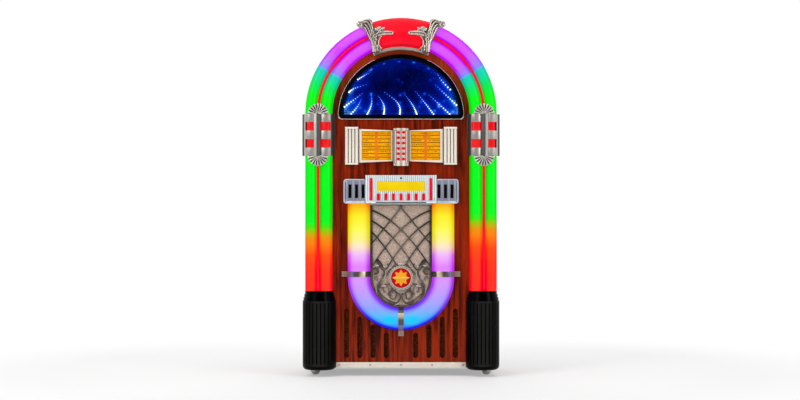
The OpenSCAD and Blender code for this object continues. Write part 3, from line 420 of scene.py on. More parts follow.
# Fine lines of brushing, stretched along the ways that have the smaller numbers
brushing, given, out = shader_group("brushing", {"X": 400.0, "Y": 400.0, "Z": 8.0, "Rough": 0.25,
                                                 "Spread": 0.2},
                                    ["Tone", "Roughness", "Height"])
scratch = noise(stretched(own(brushing), **{axis: given[axis] for axis in "XYZ"}), 1.0, 3.0)
tone = scratch * 0.7 + noise(own(brushing), 22.0, 2.0) * 0.3
dress(out, Tone=tone, Roughness=tone * given["Spread"] + given["Rough"], Height=scratch)


def between(dark, light):
    """A colour that goes between two with the tone of the brushing."""
    return lambda tree, tone: mix(tone, dark, light)


def metal(name, colour_of, rough, lines=(400.0, 400.0, 8.0), spread=0.2, metallic=1.0):
    """A brushed or part-lacquered metal. colour_of builds its colour from the tree and the tone."""
    material, tree, shader = new_material(name)
    brushed = use(tree, brushing, X=lines[0], Y=lines[1], Z=lines[2], Rough=rough, Spread=spread)
    dress(shader, Base_Color=colour_of(tree, brushed["Tone"]), Roughness=brushed["Roughness"],
          Metallic=metallic)
    bump(shader, brushed["Height"], strength=0.1, distance=0.0002)
    return material


strip_metal = metal("pale kick metal", between((0.91, 0.87, 0.8), (1.0, 0.97, 0.91)), 0.5,
                    (6.0, 300.0, 500.0), metallic=0.15)
softened("kick_strip", strip_metal, 0.0006)


def geometry_tree(name, **inputs):
    """A geometry tree with a Geometry input, named inputs of the given socket kinds and its output."""
    tree = bpy.data.node_groups.new(name, "GeometryNodeTree")
    for socket, kind in {"Geometry": "NodeSocketGeometry", **inputs, "Finish": "NodeSocketMaterial"}.items():
        tree.interface.new_socket(socket, in_out="INPUT", socket_type=kind)
    tree.interface.new_socket("Geometry", in_out="OUTPUT", socket_type="NodeSocketGeometry")
    return tree, tree.nodes.new("NodeGroupInput").outputs


def own_value(tree, name, kind):
    """A value that each point carries under a name."""
    return add(tree, "GeometryNodeInputNamedAttribute", data_type=kind, Name=name).outputs["Attribute"]


def end_tree(tree, given, made):
    """The end of a geometry tree: what it made becomes plain geometry with the given finish."""
    real = add(tree, "GeometryNodeRealizeInstances", Geometry=made.outputs[0])
    done = add(tree, "GeometryNodeSetMaterial", Geometry=real.outputs[0], Material=given["Finish"])
    feed(tree.nodes.new("NodeGroupOutput").inputs["Geometry"], done.outputs[0])


def grow(base, tree, **values):
    """The plain mesh that a geometry tree makes of a base mesh, its inputs set by their names."""
    host = bpy.data.objects.new("host", base)
    scene.collection.objects.link(host)
    growth = host.modifiers.new("growth", "NODES")
    growth.node_group = tree
    for item in tree.interface.items_tree:
        if item.in_out == "INPUT" and item.name in values:
            growth[item.identifier] = values[item.name]
    return plain_mesh(host)


# Copies of one shape on every point, turned and sized by the points' own attributes
scatter, given = geometry_tree("scatter", Shape="NodeSocketObject")
shape = add(scatter, "GeometryNodeObjectInfo", Object=given["Shape"]).outputs["Geometry"]
copies = add(scatter, "GeometryNodeInstanceOnPoints", Points=given["Geometry"], Instance=shape,
             Rotation=own_value(scatter, "turn", "FLOAT_VECTOR"),
             Scale=own_value(scatter, "size", "FLOAT_VECTOR"))
end_tree(scatter, given, copies)


def scattered(shape, spots, material):
    """A mesh of one shape's copies on spots, each a point, a turn and a size along X, Y and Z."""
    base = bpy.data.meshes.new("spots")
    base.from_pydata([spot[0] for spot in spots], [], [])
    for k, name in ((1, "turn"), (2, "size")):
        values = base.attributes.new(name, "FLOAT_VECTOR", "POINT").data
        values.foreach_set("vector", [c for spot in spots for c in spot[k]])
    host = bpy.data.objects.new("shape", shape)
    scene.collection.objects.link(host)
    mesh = grow(base, scatter, Shape=host, Finish=material)
    bpy.data.objects.remove(host)
    return mesh


def as_mesh(shape, outwards=True):
    """The mesh of a shape that is done with, its faces turned outwards."""
    if outwards:
        bmesh.ops.recalc_face_normals(shape, faces=shape.faces)
    mesh = bpy.data.meshes.new("shape")
    shape.to_mesh(mesh)
    shape.free()
    return mesh


def skinned(shape, rows):
    """Faces between each row of verts and the next."""
    for low, high in zip(rows, rows[1:]):
        for j in range(len(low) - 1):
            shape.faces.new((low[j], high[j], high[j + 1], low[j + 1]))


def lathed(outline, sides):
    """A mesh turned about Z from an outline of radius and height, from the axis out and back to it."""
    shape = bmesh.new()
    rings = []
    for r, z in outline:
        turns = [2 * math.pi * k / sides for k in range(sides if r else 1)]
        rings.append([shape.verts.new((r * math.cos(a), r * math.sin(a), z)) for a in turns])
    for low, high in zip(rings, rings[1:]):
        for k in range(sides):
            n = k + 1
            corners = [low[k % len(low)], low[n % len(low)], high[n % len(high)], high[k % len(high)]]
            shape.faces.new(list(dict.fromkeys(corners)))
    return as_mesh(shape)


def separate(shape):
    """The separate solids of a shape: their verts with their lowest and highest corner."""
    left = set(shape.verts)
    while left:
        reached = {left.pop()}
        edge = list(reached)
        while edge:
            near = {e.other_vert(v) for v in edge for e in v.link_edges} - reached
            reached |= near
            edge = list(near)
        left -= reached
        yield reached, *(Vector(pick(v.co[k] for v in reached) for k in range(3)) for pick in (min, max))


def islands(node):
    """The lowest and highest corner of each separate solid of a CAD node."""
    shape = bmesh.new()
    shape.from_mesh(frame["nodes"][node].data)
    bmesh.ops.remove_doubles(shape, verts=shape.verts, dist=MERGE)
    found = [(low, high) for verts, low, high in separate(shape)]
    shape.free()
    return sorted(found, key=lambda ends: tuple(ends[0]))


SCREW_SIDES = 24
CROSS_ARM = 0.4
CROSS_SLOT = 0.11
CROSS_DEEP = 0.35
CROSS_TAPER = 0.6


def cross_head_screw():
    """A pan-head screw of unit radius and height, its cross recess cut in, looking along +Z."""
    shape = bmesh.new()
    shape.from_mesh(lathed([(0, 0), (1, 0), (1, 0.45), (0.9, 0.75), (0.68, 0.94), (0.42, 1)], SCREW_SIDES))
    corners = [(CROSS_ARM, -CROSS_SLOT), (CROSS_ARM, CROSS_SLOT), (CROSS_SLOT, CROSS_SLOT)]
    corners += [(-y, x) for x, y in corners]
    corners += [(-x, -y) for x, y in corners]
    top = [v for v in shape.verts if v.co.z > 0.99]
    edge = [shape.verts.new((x, y, 1)) for x, y in corners]
    bed = [shape.verts.new((x * CROSS_TAPER, y * CROSS_TAPER, CROSS_DEEP)) for x, y in corners]
    for ring in (top, edge, bed):
        ring.sort(key=lambda v: math.atan2(v.co.y, v.co.x))
    for k in range(len(edge)):
        n = (k + 1) % len(edge)
        rim = [top[(2 * k + step) % SCREW_SIDES] for step in range(3)]
        shape.faces.new((*rim, edge[n], edge[k]))
        shape.faces.new((edge[k], edge[n], bed[n], bed[k]))
    shape.faces.new(bed)
    return as_mesh(shape)


def screw_heads(spots, material):
    """A mesh of cross-head screws on spots."""
    heads = scattered(cross_head_screw(), spots, material)
    heads.set_sharp_from_angle(angle=math.radians(35))
    return heads


screw_steel = metal("screw steel", between((0.6, 0.6, 0.6), (0.86, 0.85, 0.83)), 0.25)
SCREW_TURN = math.radians(37)
spots = []
for number, (low, high) in enumerate(islands("panel_screws")):
    middle = (low + high) / 2
    to_front = middle.y < 0
    middle.y = high.y if to_front else low.y
    radius = (high.x - low.x) / 2
    lean = math.radians(90 if to_front else -90)
    spots.append((middle, (lean, SCREW_TURN * number, 0), (radius, radius, high.y - low.y)))
piece("panel_screw_heads", screw_heads(spots, screw_steel), "screw_steel", nodes=["panel_screws"])

# Light band
# A moulded lens up each pillar and round the arch, with two round lobes and a stripe in the
# channel between them. Lamps behind it change colour along its length.

BAND_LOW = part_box("arch_lenses")[0].z
STRIPE_W = 0.011
BAND_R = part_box("arch_stripes")[1].x - STRIPE_W / 2
BAND_HIGH = ARCH_Z + math.pi / 2 * BAND_R
LOBE_RISE = FACE_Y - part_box("arch_lenses")[0].y

# Fine moulding grain and cloudiness for plastics
moulding, given, out = shader_group("moulding", {"Grain": 900.0, "Rough": 0.3, "Spread": 0.12},
                                    ["Tone", "Roughness", "Height"])
cloud = noise(own(moulding), 14.0, 3.0)
dress(out, Tone=cloud, Roughness=cloud * given["Spread"] + given["Rough"],
      Height=noise(own(moulding), given["Grain"], 2.0))


def lit(name, colour_of, glow, rough=0.3, coat=0.05):
    """A surface that glows in its own colour: a lens lit from behind, or a painted glow on a part that has
    no lamp. colour_of builds its colour from the tree and a cloudy tone.
    """
    material, tree, shader = new_material(name)
    mould = use(tree, moulding, Rough=rough)
    colour = colour_of(tree, mould["Tone"])
    dress(shader, Base_Color=mix(0.55, colour, (0, 0, 0)), Emission_Color=colour, Emission_Strength=glow,
          Roughness=mould["Roughness"], Specular_IOR_Level=0.12, Coat_Weight=coat, Coat_Roughness=0.12)
    bump(shader, mould["Height"], strength=0.05, distance=0.0003)
    return material


def uneven(low, high, ends=(0.3, 0.7)):
    """A colour that goes between two with the cloudy tone."""
    return lambda tree, tone: mix(smooth_step(tone, *ends), low, high)


def tones(value, table, column=1):
    """The colours of a table's column over its places in metres."""
    first = table[0][0]
    reach = table[-1][0] - first
    return ramp((value - first) / reach, [((row[0] - first) / reach, row[column]) for row in table])


def height_over_face(tree):
    """How far the surface stands in front of the front panel, in metres."""
    return FACE_Y - place(tree)[1]


def on_arch(degrees):
    """The way along the band at an angle round the arch."""
    return ARCH_Z + math.radians(degrees) * BAND_R


# The way up the band, with the colours in the channels and on the crown of each lobe
BAND_COLOURS = [
    (BAND_LOW, (1, 0.0, 0.16), (1, 0.2, 0.1)),
    (0.43, (1, 0.05, 0.08), (1, 0.24, 0.09)),
    (0.49, (1, 0.2, 0.0), (1, 0.32, 0.06)),
    (0.53, (0.98, 0.4, 0.0), (1, 0.48, 0.04)),
    (0.563, (0.86, 0.52, 0.0), (0.92, 0.58, 0.0)),
    (0.585, (0.6, 0.7, 0.0), (0.66, 0.75, 0.0)),
    (0.602, (0.2, 0.82, 0.0), (0.3, 0.9, 0.0)),
    (0.625, (0.0, 0.86, 0.0), (0.0, 0.98, 0.14)),
    (on_arch(12), (0.0, 0.88, 0.0), (0.0, 0.99, 0.1)),
    (on_arch(19), (0.0, 0.84, 0.3), (0.0, 0.92, 0.36)),
    (on_arch(29.6), (0.0, 0.72, 0.7), (0.06, 0.82, 0.76)),
    (on_arch(31), (0.45, 0.42, 1.0), (0.55, 0.55, 1.0)),
    (on_arch(37), (0.74, 0.1, 1.0), (0.76, 0.45, 1.0)),
    (on_arch(43), (0.76, 0.0, 1.0), (0.85, 0.34, 1.0)),
    (BAND_HIGH, (0.78, 0.0, 1.0), (0.86, 0.36, 1.0)),
]
# The lamps change colour a little higher on the right pillar
RIGHT_SHIFT = 0.034
SHIFT_ENDS = [BAND_LOW + share * (BAND_HIGH - BAND_LOW) for share in (0.25, 0.4)]


def band_colour(tree, tone):
    """The lamps' colours along the band, paler on the crown of each lobe."""
    x, y, z = place(tree)
    angle = (z - ARCH_Z).most(0.0).sum("ARCTAN2", abs(x))
    way = z.sum("MINIMUM", ARCH_Z) + angle * BAND_R
    right = smooth_step(x, -0.01, 0.01)
    way = way - right * (1.0 - smooth_step(way, *SHIFT_ENDS)) * RIGHT_SHIFT
    high = smooth_step(height_over_face(tree), LOBE_RISE * 0.7, LOBE_RISE)
    return mix(high * smooth_step(tone, -0.3, 0.6), tones(way, BAND_COLOURS, 1), tones(way, BAND_COLOURS, 2))


# The stripe is painted dark, as shade, where a clamp covers it and a little beyond
CLAMP_LOW, CLAMP_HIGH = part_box("clamp_bands")
FAN_R = 0.042
STRIPE_SHADE_REACH = (CLAMP_HIGH.z - CLAMP_LOW.z) / 2 - FAN_R + 0.004


def stripe_colour(tree, tone):
    """Red, with painted shade into the channel's sides and under the clamps."""
    high = smooth_step(height_over_face(tree), LOBE_RISE * 0.5, LOBE_RISE * 0.72)
    deep = mix(high, (0.8, 0.0, 0.12), (1, 0.04, 0.2))
    red = mix(smooth_step(tone, 0.4, 0.8), deep, (1, 0.1, 0.18))
    away = abs(place(tree)[2] - (CLAMP_LOW.z + CLAMP_HIGH.z) / 2)
    return mix(smooth_step(away, STRIPE_SHADE_REACH, STRIPE_SHADE_REACH + 0.002), (0.05, 0.02, 0.02), red)


softened("arch_lenses", lit("lit band lens", band_colour, 0.62))
softened("arch_stripes", lit("lit stripe", stripe_colour, 0.6), 0.001)

# Crest
# A red lens closes the arch at the top. A cast pewter frame holds it: two ribbed brackets, each
# with a finger over the lens, leaves at its root and a rolled leaf outside, and a rail below.

CREASE_R = 0.2805
CREASE_HALF = 0.0024
PALE_R = (0.315, 0.335)
FRAME_RISE = FACE_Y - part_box("crest_frame")[0].y
BRACKET_FACE = FRAME_RISE - 0.004
FINGER_FACE = FRAME_RISE - 0.002


def crest_colour(tree, tone):
    """Red, deeper below, with painted shade along the crease over its lower lip."""
    x, y, z = place(tree)
    r = distance(x, z - ARCH_Z)
    red = mix(smooth_step(r, *PALE_R), (1, 0.0, 0.15), (1, 0.07, 0.16))
    red = mix(smooth_step(abs(r - CREASE_R), 0.0, CREASE_HALF), (0.72, 0.0, 0.09), red)
    return mix(smooth_step(tone, 0.45, 0.75) * 0.4, red, (1, 0.12, 0.18))


softened("crest_lens", lit("lit crest lens", crest_colour, 0.6), 0.002)

# Patina and painted shade in the hollows of a casting, darker the more closed in, with a mottled surface
patina_and_shade, given, out = shader_group("patina_and_shade", {"Metal": (0.7, 0.68, 0.65), "Dirt": (0.13, 0.12, 0.11),
                                             "Depth": 0.006}, ["Color", "Roughness", "Height"])
hollow = Wire(add(patina_and_shade, "ShaderNodeAmbientOcclusion", samples=8, Distance=given["Depth"]).outputs["AO"])
mottle = noise(own(patina_and_shade), 160.0, 4.0)
open_and_clean = smooth_step(hollow + mottle * 0.35, 0.55, 1.12)
dress(out, Color=mix(open_and_clean, given["Dirt"], given["Metal"]), Roughness=0.62 - open_and_clean * 0.32, Height=mottle)


def casting(name, light, hollow_colour, depth=0.006, metallic=0.85, shade=None):
    """A cast metal or moulding, dark in its hollows with patina and painted shade. shade changes its colour.
    """
    material, tree, shader = new_material(name)
    aged = use(tree, patina_and_shade, Metal=light, Dirt=hollow_colour, Depth=depth)
    colour = shade(tree, aged["Color"]) if shade else aged["Color"]
    dress(shader, Base_Color=colour, Roughness=aged["Roughness"], Metallic=metallic)
    bump(shader, aged["Height"], strength=0.2, distance=0.0006)
    return material


# Round bars along the edges of a mesh, each point with its own thickness
bars, given = geometry_tree("bars", Sides="NodeSocketInt")
curve = add(bars, "GeometryNodeMeshToCurve", Mesh=given["Geometry"]).outputs[0]
ring = add(bars, "GeometryNodeCurvePrimitiveCircle", Resolution=given["Sides"], Radius=1.0).outputs[0]
tube = add(bars, "GeometryNodeCurveToMesh", Curve=curve, Profile_Curve=ring,
           Scale=own_value(bars, "thickness", "FLOAT"), Fill_Caps=True)
end_tree(bars, given, tube)


def strands(paths, material, sides=8):
    """A mesh of round bars, each from points, their thickness and, if it closes on itself, True."""
    points, edges, widths = [], [], []
    for path, width, *closed in paths:
        first = len(points)
        points += [tuple(p) for p in path]
        widths += width if isinstance(width, list) else [width] * len(path)
        edges += [(k, k + 1) for k in range(first, len(points) - 1)]
        if closed:
            edges.append((len(points) - 1, first))
    base = bpy.data.meshes.new("paths")
    base.from_pydata(points, edges, [])
    base.attributes.new("thickness", "FLOAT", "POINT").data.foreach_set("value", widths)
    mesh = grow(base, bars, Sides=sides, Finish=material)
    mesh.set_sharp_from_angle(angle=math.radians(50))
    return mesh


def joined(*meshes):
    """One mesh of several."""
    shape = bmesh.new()
    for mesh in meshes:
        shape.from_mesh(mesh)
    return as_mesh(shape, outwards=False)


def mirrored(paths):
    """Paths and their mirror images across the middle of the cabinet."""
    flip = Vector((-1, 1, 1))
    return paths + [([Vector(p) * flip for p in path], *rest) for path, *rest in paths]


def front(x, z, v):
    """A point of the front, v metres before the face."""
    return Vector((x, FACE_Y - v, z))


def eased(a, b, t):
    """A value a share of the way between two."""
    return a + (b - a) * t


def tapered(path, start, end, steps=0):
    """A bar along a path, from one thickness to another over its steps or a given number of them."""
    return path, [eased(start, end, k / (steps or len(path) - 1)) for k in range(len(path))]


def arc(x, z, r, start, sweep, count, v):
    """Points on the front round a middle, from an angle through a sweep, in degrees."""
    angles = [math.radians(start + sweep * k / count) for k in range(count + 1)]
    return [front(x + r * math.cos(a), z + r * math.sin(a), v) for a in angles]


def flowing(points, count=10):
    """A smooth path through points, with count steps from each to the next."""
    ends = [points[0] * 2 - points[1], *points, points[-1] * 2 - points[-2]]
    path = []
    for a, b, c, d in zip(ends, ends[1:], ends[2:], ends[3:]):
        for t in (k / count for k in range(count)):
            bend = (a * 2 - b * 5 + c * 4 - d) * t ** 2 + (b * 3 - a - c * 3 + d) * t ** 3
            path.append(b + ((c - a) * t + bend) / 2)
    return path + [points[-1]]


def drawn(places, v, start, end):
    """A smooth bar over the front through places of x and z, from one thickness to another."""
    return tapered(flowing([front(x, z, v) for x, z in places]), start, end)


COIL_STEPS = 40
COIL_RISE = 0.002


def coil(x, z, r0, r1, start, turns, v, width, end):
    """A bar wound on the front about a middle from one radius to another, rising as it goes."""
    path = []
    for t in (k / COIL_STEPS for k in range(COIL_STEPS + 1)):
        a = math.radians(start) + turns * 2 * math.pi * t
        r = eased(r0, r1, t)
        path.append(front(x + r * math.cos(a), z + r * math.sin(a), v + COIL_RISE * t))
    return tapered(path, width, end)


def bead():
    """A low-count ball of unit radius."""
    shape = bmesh.new()
    bmesh.ops.create_icosphere(shape, subdivisions=2, radius=1)
    for face in shape.faces:
        face.smooth = True
    return as_mesh(shape, outwards=False)


def leafy(leaves, z, v, deep):
    """Spots for flat leaves on both sides: place, length, width and turn in degrees of each."""
    return [(front(side * x, z + up, v), (0, -side * math.radians(turn), 0), (long, deep, wide))
            for x, up, long, wide, turn in leaves for side in (1, -1)]


# The brackets' ground is dark between the ribs, and the rail below the lens and the rolls are pale
PEWTER_HOLLOWS = (0.04, 0.035, 0.03)
PEWTER_DEPTH = 0.014
RAIL_ENDS = (0.082, 0.09)
ROLL_FROM = (0.156, 0.15)


def bracket_ground(tree, pale):
    """Pewter, dark on the front of the brackets."""
    dark = use(tree, patina_and_shade, Metal=(0.52, 0.48, 0.45), Dirt=(0.03, 0.027, 0.025), Depth=PEWTER_DEPTH)
    aside = abs(place(tree)[0])
    ahead = smooth_step(height_over_face(tree), BRACKET_FACE - 0.006, BRACKET_FACE - 0.003)
    return mix(smooth_step(aside, *RAIL_ENDS) * smooth_step(aside, *ROLL_FROM) * ahead, pale, dark["Color"])


# The pewter's hollows take patina and painted shade
frame_pewter = casting("crest frame pewter", (0.9, 0.85, 0.79), PEWTER_HOLLOWS, PEWTER_DEPTH, 0.75,
                       bracket_ground)
softened("crest_frame", frame_pewter, 0.002)
pewter = casting("cast pewter", (0.92, 0.87, 0.81), PEWTER_HOLLOWS, PEWTER_DEPTH, 0.75)

# Four ribs run up each bracket, bend outwards at its top and roll over its end
RIBS = [
    [(0.1033, 1.3095), (0.1006, 1.327), (0.1033, 1.3472), (0.1047, 1.366), (0.1114, 1.3876),
     (0.1168, 1.4118), (0.1222, 1.4315), (0.1316, 1.4405), (0.1437, 1.4395), (0.1525, 1.4345),
     (0.1625, 1.4325), (0.171, 1.426)],
    [(0.1074, 1.3125), (0.1087, 1.3405), (0.1114, 1.3606), (0.1168, 1.3808), (0.1222, 1.405),
     (0.1302, 1.4239), (0.1396, 1.4316), (0.1517, 1.4285), (0.1625, 1.4255), (0.169, 1.42)],
    [(0.1107, 1.3115), (0.1127, 1.3337), (0.1168, 1.3526), (0.1222, 1.3714), (0.1275, 1.3929),
     (0.137, 1.4118), (0.1464, 1.4205), (0.1565, 1.42)],
    [(0.1127, 1.3105), (0.1154, 1.3337), (0.1195, 1.3526), (0.1275, 1.3687), (0.1329, 1.3822),
     (0.141, 1.3983), (0.1464, 1.4085), (0.1571, 1.4135), (0.1679, 1.4118)],
]
ornament = [drawn(places, BRACKET_FACE, 0.0027, 0.0033) for places in RIBS]
# The finger: two rails with a hollow between them, closed by a turned end
FINGER_Z = 1.387
FINGER_TIP = 0.0362
FINGER_HALF = 0.0046
FINGER_R = 0.0026
for row in (-1, 1):
    rail = [(FINGER_TIP, FINGER_Z + row * FINGER_HALF), (0.055, FINGER_Z + row * 0.0044),
            (0.076, FINGER_Z + row * 0.005 - 0.001), (0.094, FINGER_Z + row * 0.006 - 0.004)]
    ornament.append(drawn(rail, FINGER_FACE, FINGER_R, 0.0044))
turned_end = [(FINGER_TIP, FINGER_Z - FINGER_HALF), (FINGER_TIP - 0.0028, FINGER_Z),
              (FINGER_TIP, FINGER_Z + FINGER_HALF)]
window_edge = [(0.0795, 1.376), (0.0872, 1.365), (0.0905, 1.349), (0.0885, 1.334), (0.077, 1.3245)]
ornament += [
    drawn(turned_end, FINGER_FACE, FINGER_R, FINGER_R),
    # A curled leaf stands on the finger's root, over a ring on the bracket
    coil(0.0885, 1.401, 0.0088, 0.003, 150, -1.4, FINGER_FACE + 0.001, 0.0034, 0.0024),
    coil(0.1055, 1.373, 0.0062, 0.0056, 0, 1.0, FINGER_FACE + 0.001, 0.0024, 0.0024),
    drawn([(0.078, 1.391), (0.089, 1.389), (0.1, 1.381)], FINGER_FACE + 0.002, 0.003, 0.0036),
    # A rolled leaf curls up at the bracket's outer end
    coil(0.166, 1.4205, 0.0125, 0.0025, 115, -1.7, FRAME_RISE - 0.001, 0.0034, 0.002),
    # The edge of the lower window sweeps from the finger's root round to the rail
    drawn(window_edge, FINGER_FACE - 0.003, 0.0034, 0.0028),
]
# Leaflets beside the curled leaf, along the bracket and in the eye of each coil
LEAVES = [
    (0.0744, 1.4044, 0.0115, 0.0036, 155), (0.096, 1.3849, 0.0095, 0.0034, 139),
    (0.1, 1.4005, 0.0075, 0.0045, 60), (0.0885, 1.401, 0.0035, 0.0035, 0), (0.1055, 1.373, 0.003, 0.003, 0),
    (0.1655, 1.4165, 0.0085, 0.0035, 15), (0.0945, 1.332, 0.008, 0.0035, 80),
    (0.0935, 1.319, 0.007, 0.003, 70), (0.1, 1.3615, 0.007, 0.0035, 70),
]
leaves = scattered(bead(), leafy(LEAVES, 0, FINGER_FACE, 0.004), pewter)
frame_bars = strands(mirrored(ornament), pewter, sides=10)
piece("crest_ornament", joined(frame_bars, leaves), "cast_pewter", pewter)

# Clamps
# A bright steel band grips each pillar below the arch, with four windows over a red liner
# and a pleated fan at each end.

# Painted reflections and shade by the way out from the middle: shaded flanges, and a dark
# reflection on the rib between bright painted highlights
CLAMP_PAINTED_TONES = [
    (0.262, (0.3, 0.22, 0.19)), (0.282, (0.34, 0.3, 0.28)), (0.2845, (0.72, 0.7, 0.69)),
    (0.312, (0.74, 0.71, 0.68)), (0.3165, (1.0, 0.98, 0.95)), (0.323, (0.98, 0.96, 0.93)),
    (0.3255, (0.46, 0.46, 0.46)), (0.34, (0.42, 0.41, 0.4)), (0.342, (0.9, 0.88, 0.86)),
    (0.3515, (0.85, 0.83, 0.8)), (0.359, (0.76, 0.74, 0.72)), (0.39, (0.79, 0.77, 0.74)),
    (0.392, (0.38, 0.35, 0.33)), (CLAMP_HIGH.x, (0.4, 0.37, 0.34)),
]
FAN_PLEATS = 9
FAN_ROWS = 7
FAN_HUB = 0.08
BAND_TALL = 0.1


def clamp_painted_light(tree, tone):
    """The clamp's painted reflections and shade, a little greyer along the brushing."""
    return mix(tone * 0.2, tones(abs(place(tree)[0]), CLAMP_PAINTED_TONES), (0.4, 0.39, 0.38))


def pleated_fan():
    """A half-round fan of unit size with rounded pleats and a scalloped edge, opening towards +Z."""
    shape = bmesh.new()
    around = FAN_PLEATS * 8
    grid = []
    for a in (math.pi * i / around for i in range(around + 1)):
        wave = abs(math.sin(FAN_PLEATS * a))
        row = []
        for t in (j / FAN_ROWS for j in range(FAN_ROWS + 1)):
            r = eased(FAN_HUB, 1, t) * (1 - 0.07 * t * (1 - wave))
            crown = 0.75 + 0.25 * math.sin(math.pi * t)
            lift = crown * (1 - 0.75 * min(1, 1.3 * t) * (1 - wave))
            row.append(shape.verts.new((r * math.cos(a), -lift, r * math.sin(a))))
        row.append(shape.verts.new((row[-1].co.x, 0, row[-1].co.z)))
        grid.append(row)
    skinned(shape, grid)
    bmesh.ops.holes_fill(shape, edges=[e for e in shape.edges if e.is_boundary], sides=0)
    return as_mesh(shape)


clamp_metal = metal("clamp steel", clamp_painted_light, 0.4, (250.0,) * 3, 0.14, 0.7)
clamps = softened("clamp_bands", clamp_metal, 0.0008).data
shape = bmesh.new()
shape.from_mesh(clamps)
for verts, low, high in separate(shape):
    if high.z - low.z < BAND_TALL:
        bmesh.ops.delete(shape, geom=list(verts), context="VERTS")
shape.to_mesh(clamps)
shape.free()
spots = []
for low, high in islands("clamp_bands"):
    if high.z - low.z < BAND_TALL:
        above = low.z > (CLAMP_LOW.z + CLAMP_HIGH.z) / 2
        middle = Vector(((low.x + high.x) / 2, high.y, low.z if above else high.z))
        half = (high.x - low.x) / 2
        spots.append((middle, (0, 0 if above else math.pi, 0), (half, high.y - low.y, half)))
# The valleys between the pleats are painted dark, as shade
fan_metal = casting("fan casting", (0.82, 0.8, 0.77), (0.06, 0.055, 0.05), 0.007, 0.6)
fans = scattered(pleated_fan(), spots, fan_metal)
fans.set_sharp_from_angle(angle=math.radians(60))
piece("clamp_fans", fans, "clamp_metal")
# Past here the liner is painted dark, as shade
LINER_SHADE_FROM = (0.3803, 0.3809)


def liner_colour(tree, tone):
    """Red with warmer cloudy patches, painted dark as shade past its outer end."""
    red = mix(smooth_step(tone, 0.3, 0.7), (0.98, 0.0, 0.1), (1, 0.18, 0.16))
    return mix(smooth_step(abs(place(tree)[0]), *LINER_SHADE_FROM), red, (0.02, 0.02, 0.02))


softened("clamp_liners", lit("lit clamp liner", liner_colour, 0.5), 0.0004)

# Boots
# A black fluted sleeve round the foot of each pillar, moulded in gloss plastic with three
# collar rings on top.


def plastic(name, light, dark, rough, coat, grain=900.0, relief=0.06, lighter=None, shine=0.3):
    """A moulded plastic or enamel between two tones. lighter builds where the light tone shows."""
    material, tree, shader = new_material(name)
    mould = use(tree, moulding, Rough=rough, Grain=grain)
    tone = lighter(tree) if lighter else smooth_step(mould["Tone"], 0.3, 0.7)
    dress(shader, Base_Color=mix(tone, dark, light), Roughness=mould["Roughness"], Specular_IOR_Level=shine,
          Coat_Weight=coat, Coat_Roughness=0.08)
    bump(shader, mould["Height"], relief, distance=0.0003)
    return material


BOOT_LOW, BOOT_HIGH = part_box("boots")
BOOT_R = 0.068
RIDGE_DEEP = 0.0006


def painted_ridge_highlights(tree):
    """Painted highlights on the ridges between a boot's flutes, strongest where they face the front."""
    x, y, z = place(tree)
    aside = abs(x) - (BOOT_HIGH.x - BOOT_R)
    ridge = smooth_step(distance(aside, y - (BOOT_LOW.y + BOOT_R)), BOOT_R - RIDGE_DEEP, BOOT_R)
    facing = smooth_step(abs(aside), BOOT_R * 0.8, BOOT_R * 0.1)
    return ridge * (facing * 0.85 + 0.15)


boot_black = plastic("boot black", (0.135, 0.135, 0.13), (0.0, 0.0, 0.0), 0.2, 0.02, lighter=painted_ridge_highlights,
                     shine=0.04)
softened("boots", boot_black, 0.0012)

# Dome
# A half-round window over the titles: a black bezel with a thin bright trim, a pane of glass,
# and behind it a mirror box where rows of small lamps repeat into the depth.

bezel_black = plastic("bezel black", (0.02, 0.02, 0.045), (0.0, 0.0, 0.01), 0.24, 0.04, shine=0.06)
softened("dome_bezel", bezel_black, 0.0018)

# The trim runs round the bezel apart from its top
DOME_LOW, DOME_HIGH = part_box("dome_bezel")
DOME_R = DOME_HIGH.x
DOME_Z = DOME_HIGH.z - DOME_R
TRIM_R = 0.0023
TRIM_GAP = 0.104
BEZEL_CORNER = 0.012
over_top = arc(0, DOME_Z, DOME_R, 0, 180, 72, TRIM_R)
trim = [p for p in over_top if p.x < -TRIM_GAP]
for side, start in ((-1, 180), (1, 270)):
    corner_x, corner_z = side * (DOME_R - BEZEL_CORNER), DOME_LOW.z + BEZEL_CORNER
    trim += arc(corner_x, corner_z, BEZEL_CORNER, start, 90, 8, TRIM_R)
trim += [p for p in over_top if p.x > TRIM_GAP]
# The silver trim is drawn plain white and not metal, a painted reflection
trim_painted_shine = metal("bright trim", between((0.94, 0.93, 0.94), (1.0, 1.0, 1.0)), 0.3, metallic=0.0)
piece("dome_trim", strands([(trim, TRIM_R)], trim_painted_shine), "bezel_black")

glass, tree, shader = new_material("dome pane")
smudge = use(tree, moulding, Grain=40.0, Rough=0.0, Spread=0.06)
dress(shader, Base_Color=(0.94, 0.96, 1.0), Roughness=smudge["Roughness"], Transmission_Weight=1.0, IOR=1.1)
softened("dome_glass", glass, 0.0004)

